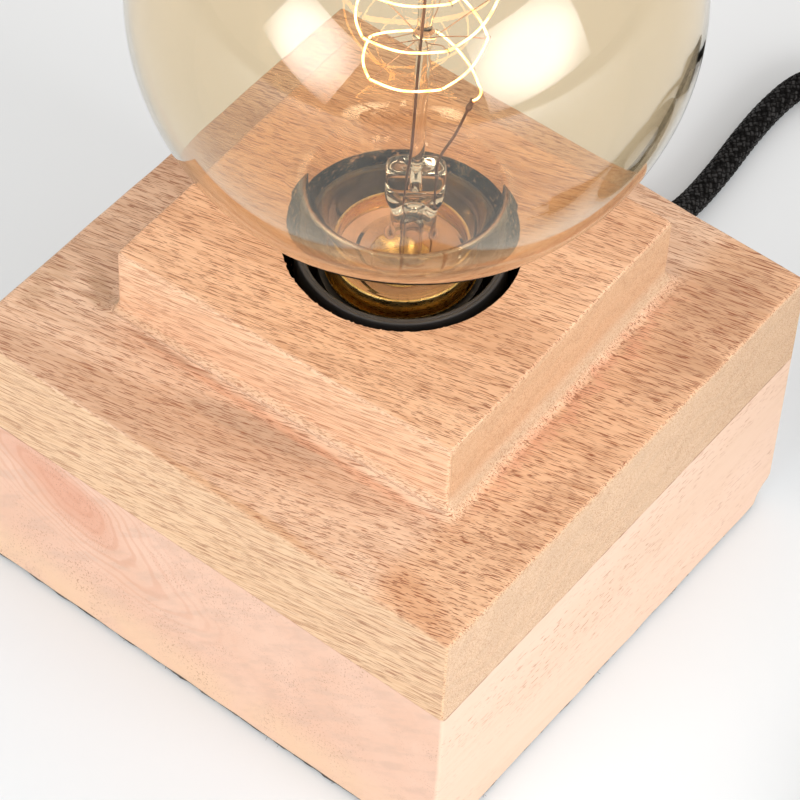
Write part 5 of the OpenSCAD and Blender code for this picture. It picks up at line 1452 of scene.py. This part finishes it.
class LAMP_OT_plug(LampOperator):
    """Moulds the flat two-pin plug, with its relief and its sleeved pins"""
    bl_idname = "lamp.plug"
    bl_label = "Plug"

    def execute(self, context):
        c = self.cord
        place = (plug_at(c), plug_way(c))
        black = moulded("plug_plastic", c.black, 0.38, 1300, 0.05)
        reach = c.plug_length / MM
        a = np.arange(96) * TURN / 96
        rings = []
        for u, w, h in ((0.0, 6.6, 5.0), (0.25, 7.3, 5.5), (3, 8.2, 5.75), (6, 9.0, 5.95), (9, 10.2, 6.1),
                        (12, 12.0, 6.25), (16, 14.6, 6.45), (20, 16.3, 6.65), (24, 17.1, 6.82), (30, 17.5, 6.85),
                        (35.0, 17.6, 6.85), (35.7, 17.35, 6.6), (reach, 16.9, 6.2)):
            x, z = w * boxed(np.cos(a), 0.62), h * boxed(np.sin(a), 0.62)
            rings.append(upright([(p * MM, q * MM, (RELIEF + 0.02 + u) * MM) for p, q in zip(x, z)], place))
        body = Form().add(rings, capped=True).piece("plug_moulded", black, "lamp", "plug_black", ["plug_body"],
                                                    weighted=True)
        tidy_mesh(body, 40)
        holes = Form().add(lathe_along([(2.9, RELIEF - 1), (2.9, RELIEF + 4)], 40, place), capped=True)
        for at in PINS_AT:
            holes.add(lathe_along([(1.82, RELIEF + reach - 12), (1.82, RELIEF + reach + 1)], 32, place, at),
                      capped=True)
        cut_away(body, holes, 40)
        self.relief(place)
        self.pins(place, black)
        return {"FINISHED"}

    def relief(self, place):
        rows = [(3.55, 0.0), (3.65, 0.15)]
        for k in range(7):
            z, r = 0.8 + 2.6 * k, 3.75 + 0.2 * k
            rows += [(r, z), (r + 0.03, z + 1.5), (r - 0.4, z + 1.8), (r - 0.4, z + 2.3)]
        rows += [(5.2, 19.2), (5.2, RELIEF), (2.9, RELIEF), (2.9, 0.0)]
        rubber = moulded("plug_rubber", (0.018, 0.018, 0.018, 1), 0.55, 1400, 0.05, 0.35)
        tidy_mesh(Form().add(lathe_along(rows, 48, place), closed=True).piece(
            "plug_relief_ribbed", rubber, "lamp", "relief_black", ["plug_relief"]), 40)

    def pins(self, place, black):
        """Two pins with rounded tips, each with its insulating sleeve."""
        face = RELIEF + self.cord.plug_length / MM
        pins, sleeves = Form(), Form()
        for at in PINS_AT:
            pins.add(lathe_along([(r, face + z) for r, z in (
                (0.0, -11.9), (1.5, -11.9), (1.5, 9.45), (1.8, 9.5), (2.0, 9.7), (2.0, 17.6), (1.9, 18.2),
                (1.6, 18.7), (1.0, 18.95), (0.0, 19))], 40, place, at))
            sleeves.add(lathe_along([(r, face + z) for r, z in (
                (1.52, -11.9), (1.8, -11.9), (1.8, 9.2), (1.7, 9.44), (1.52, 9.44))], 40, place, at), closed=True)
        nickel = metal("pin_nickel", (0.68, 0.66, 0.62, 1), 0.18, (5, 1, 5), 0.12)
        tidy_mesh(pins.piece("plug_pins_turned", nickel, "lamp", "pin_metal", ["plug_pins"]), 35)
        tidy_mesh(sleeves.piece("plug_pin_sleeves", black, "lamp", "plug_black", ["plug_sleeves"]), 35)


# Each soft box: its centre, and the way and length of its two sides
SOFT_BOXES = {
    "left": ((-0.089, -1.05, 0.417), (0.623, 0.061, -0.296), (0.196, 0.119, 0.453)),
    "right": ((0.982, -0.147, 0.373), (0.203, 0.044, -0.547), (0.096, 0.782, 0.097)),
}


class LAMP_OT_stage(LampOperator):
    """Lays the floor and sets the two soft boxes and the light from all round"""
    bl_idname = "lamp.stage"
    bl_label = "Stage"

    def execute(self, context):
        self.floor(context)
        for name, (centre, first, second) in SOFT_BOXES.items():
            self.soft_box(context, name, Vector(centre), Vector(first), Vector(second))
        self.sky(context)
        context.scene.view_settings.view_transform = "Standard"
        return {"FINISHED"}

    def floor(self, context):
        size = 3.0
        mesh = bpy.data.meshes.new("floor")
        mesh.from_pydata([(x, y, 0.0) for y in (-size, size) for x in (-size, size)], [], [(0, 1, 3, 2)])
        obj = bpy.data.objects.new("floor", mesh)
        context.scene.collection.objects.link(obj)
        s = Surface("floor", Roughness=0.75, Specular_IOR_Level=0.2)
        at = s.place()
        # painted light: the floor is lighter behind the lamp, where its shade falls, and bluer near it to cancel the
        # wood's warm light
        far = s.band(s.number("DOT_PRODUCT", at, (-0.45, 0.62, 0.0)), -0.02, 0.16)
        mottle = s.noise(at, 14, 2)
        hue = s.blend(far, self.stage.floor, self.stage.floor_far_painted_light)
        s.set(Base_Color=s.blend(s.band(mottle, 0.3, 0.7, 0, 0.03), hue, (0.8, 0.79, 0.78, 1)))
        mesh.materials.append(s.material)

    def soft_box(self, context, name, centre, first, second):
        data = bpy.data.lights.new("soft_box_" + name, "AREA")
        data.shape, data.size, data.size_y = "RECTANGLE", first.length, second.length
        data.energy = 4 * first.length * second.length * self.stage.lamps
        data.use_nodes = True
        s = Nodes(data.node_tree)
        off = s.number("DISTANCE", s.node("NewGeometry", out="Parametric"), (0.5, 0.5, 0.0))
        s.feed(s.tree.nodes["Emission"].inputs["Strength"], s.band(off, 0.2, 0.72, 2.1, 0.3))
        obj = bpy.data.objects.new("soft_box_" + name, data)
        context.scene.collection.objects.link(obj)
        x, y = first.normalized(), second.normalized()
        y = (y - x * x.dot(y)).normalized()
        z = x.cross(y)
        if z.dot(centre) < 0:
            x, z = -x, -z
        obj.matrix_world = Matrix.Translation(centre) @ Matrix((x, y, z)).transposed().to_4x4()

    def sky(self, context):
        """Light from all round, brighter from the far side, on a plain background."""
        world = bpy.data.worlds.new("studio")
        world.use_nodes = True
        context.scene.world = world
        s, sky = Nodes(world.node_tree), self.stage.sky
        path = s.tree.nodes.new("ShaderNodeLightPath").outputs
        seen = s.sum("MAXIMUM", path["Is Camera Ray"], path["Is Glossy Ray"])
        seen = s.sum("MAXIMUM", seen, path["Is Transmission Ray"])
        back = s.number("DOT_PRODUCT", s.node("TexCoord", out="Generated"), (0.25, 0.9, 0.35))
        more = s.node("MapRange", {0: back, 1: -1.0, 2: 1.0, 3: 0.5 * sky, 4: 1.5 * sky})
        ground = s.tree.nodes["Background"].inputs
        s.feed(ground["Strength"], s.node("Mix", {0: seen, 2: more, 3: 0.85}, data_type="FLOAT"))
        s.feed(ground["Color"], (1.0, 0.99, 0.975, 1))


class LAMP_PT_panel(bpy.types.Panel):
    """Lists the lamp's pieces."""
    bl_label = "Bare Bulb Lamp"
    bl_space_type = "VIEW_3D"
    bl_region_type = "UI"
    bl_category = "Lamp"

    def draw(self, context):
        for operator in OPERATORS:
            self.layout.operator(operator.bl_idname)
        for name, group in SETTINGS.items():
            box = self.layout.box()
            box.label(text=group.__doc__)
            for key in group.__annotations__:
                box.prop(getattr(context.scene, name), key)


SETTINGS = {"lamp_wood": LampWoodSettings, "lamp_holder": LampHolderSettings, "lamp_bulb": LampBulbSettings,
            "lamp_cord": LampCordSettings, "lamp_stage": LampStageSettings}
OPERATORS = (LAMP_OT_camera, LAMP_OT_cord, LAMP_OT_felt, LAMP_OT_boards, LAMP_OT_holder, LAMP_OT_bulb,
             LAMP_OT_filament, LAMP_OT_switch, LAMP_OT_plug, LAMP_OT_stage)


def register():
    for group in SETTINGS.values():
        bpy.utils.register_class(group)
    for name, group in SETTINGS.items():
        setattr(bpy.types.Scene, name, bpy.props.PointerProperty(type=group))
    for cls in OPERATORS + (LAMP_PT_panel,):
        bpy.utils.register_class(cls)


def unregister():
    for cls in (LAMP_PT_panel,) + OPERATORS[::-1]:
        bpy.utils.unregister_class(cls)
    for name, group in SETTINGS.items():
        delattr(bpy.types.Scene, name)
        bpy.utils.unregister_class(group)


def declare_cords():
    """Works out the long cord's path in metres; it declares nothing."""
    pieces = bpy.data.objects
    cord = bpy.context.scene.lamp_cord
    long_path = [tuple(x * MM for x in p) for p in long_route(cord)]
    cord.diameter
    cord.diameter


def main():
    register()
    for operator in OPERATORS:
        group, name = operator.bl_idname.split(".")
        getattr(getattr(bpy.ops, group), name)()
    declare_cords()


if __name__ == "__main__":
    main()
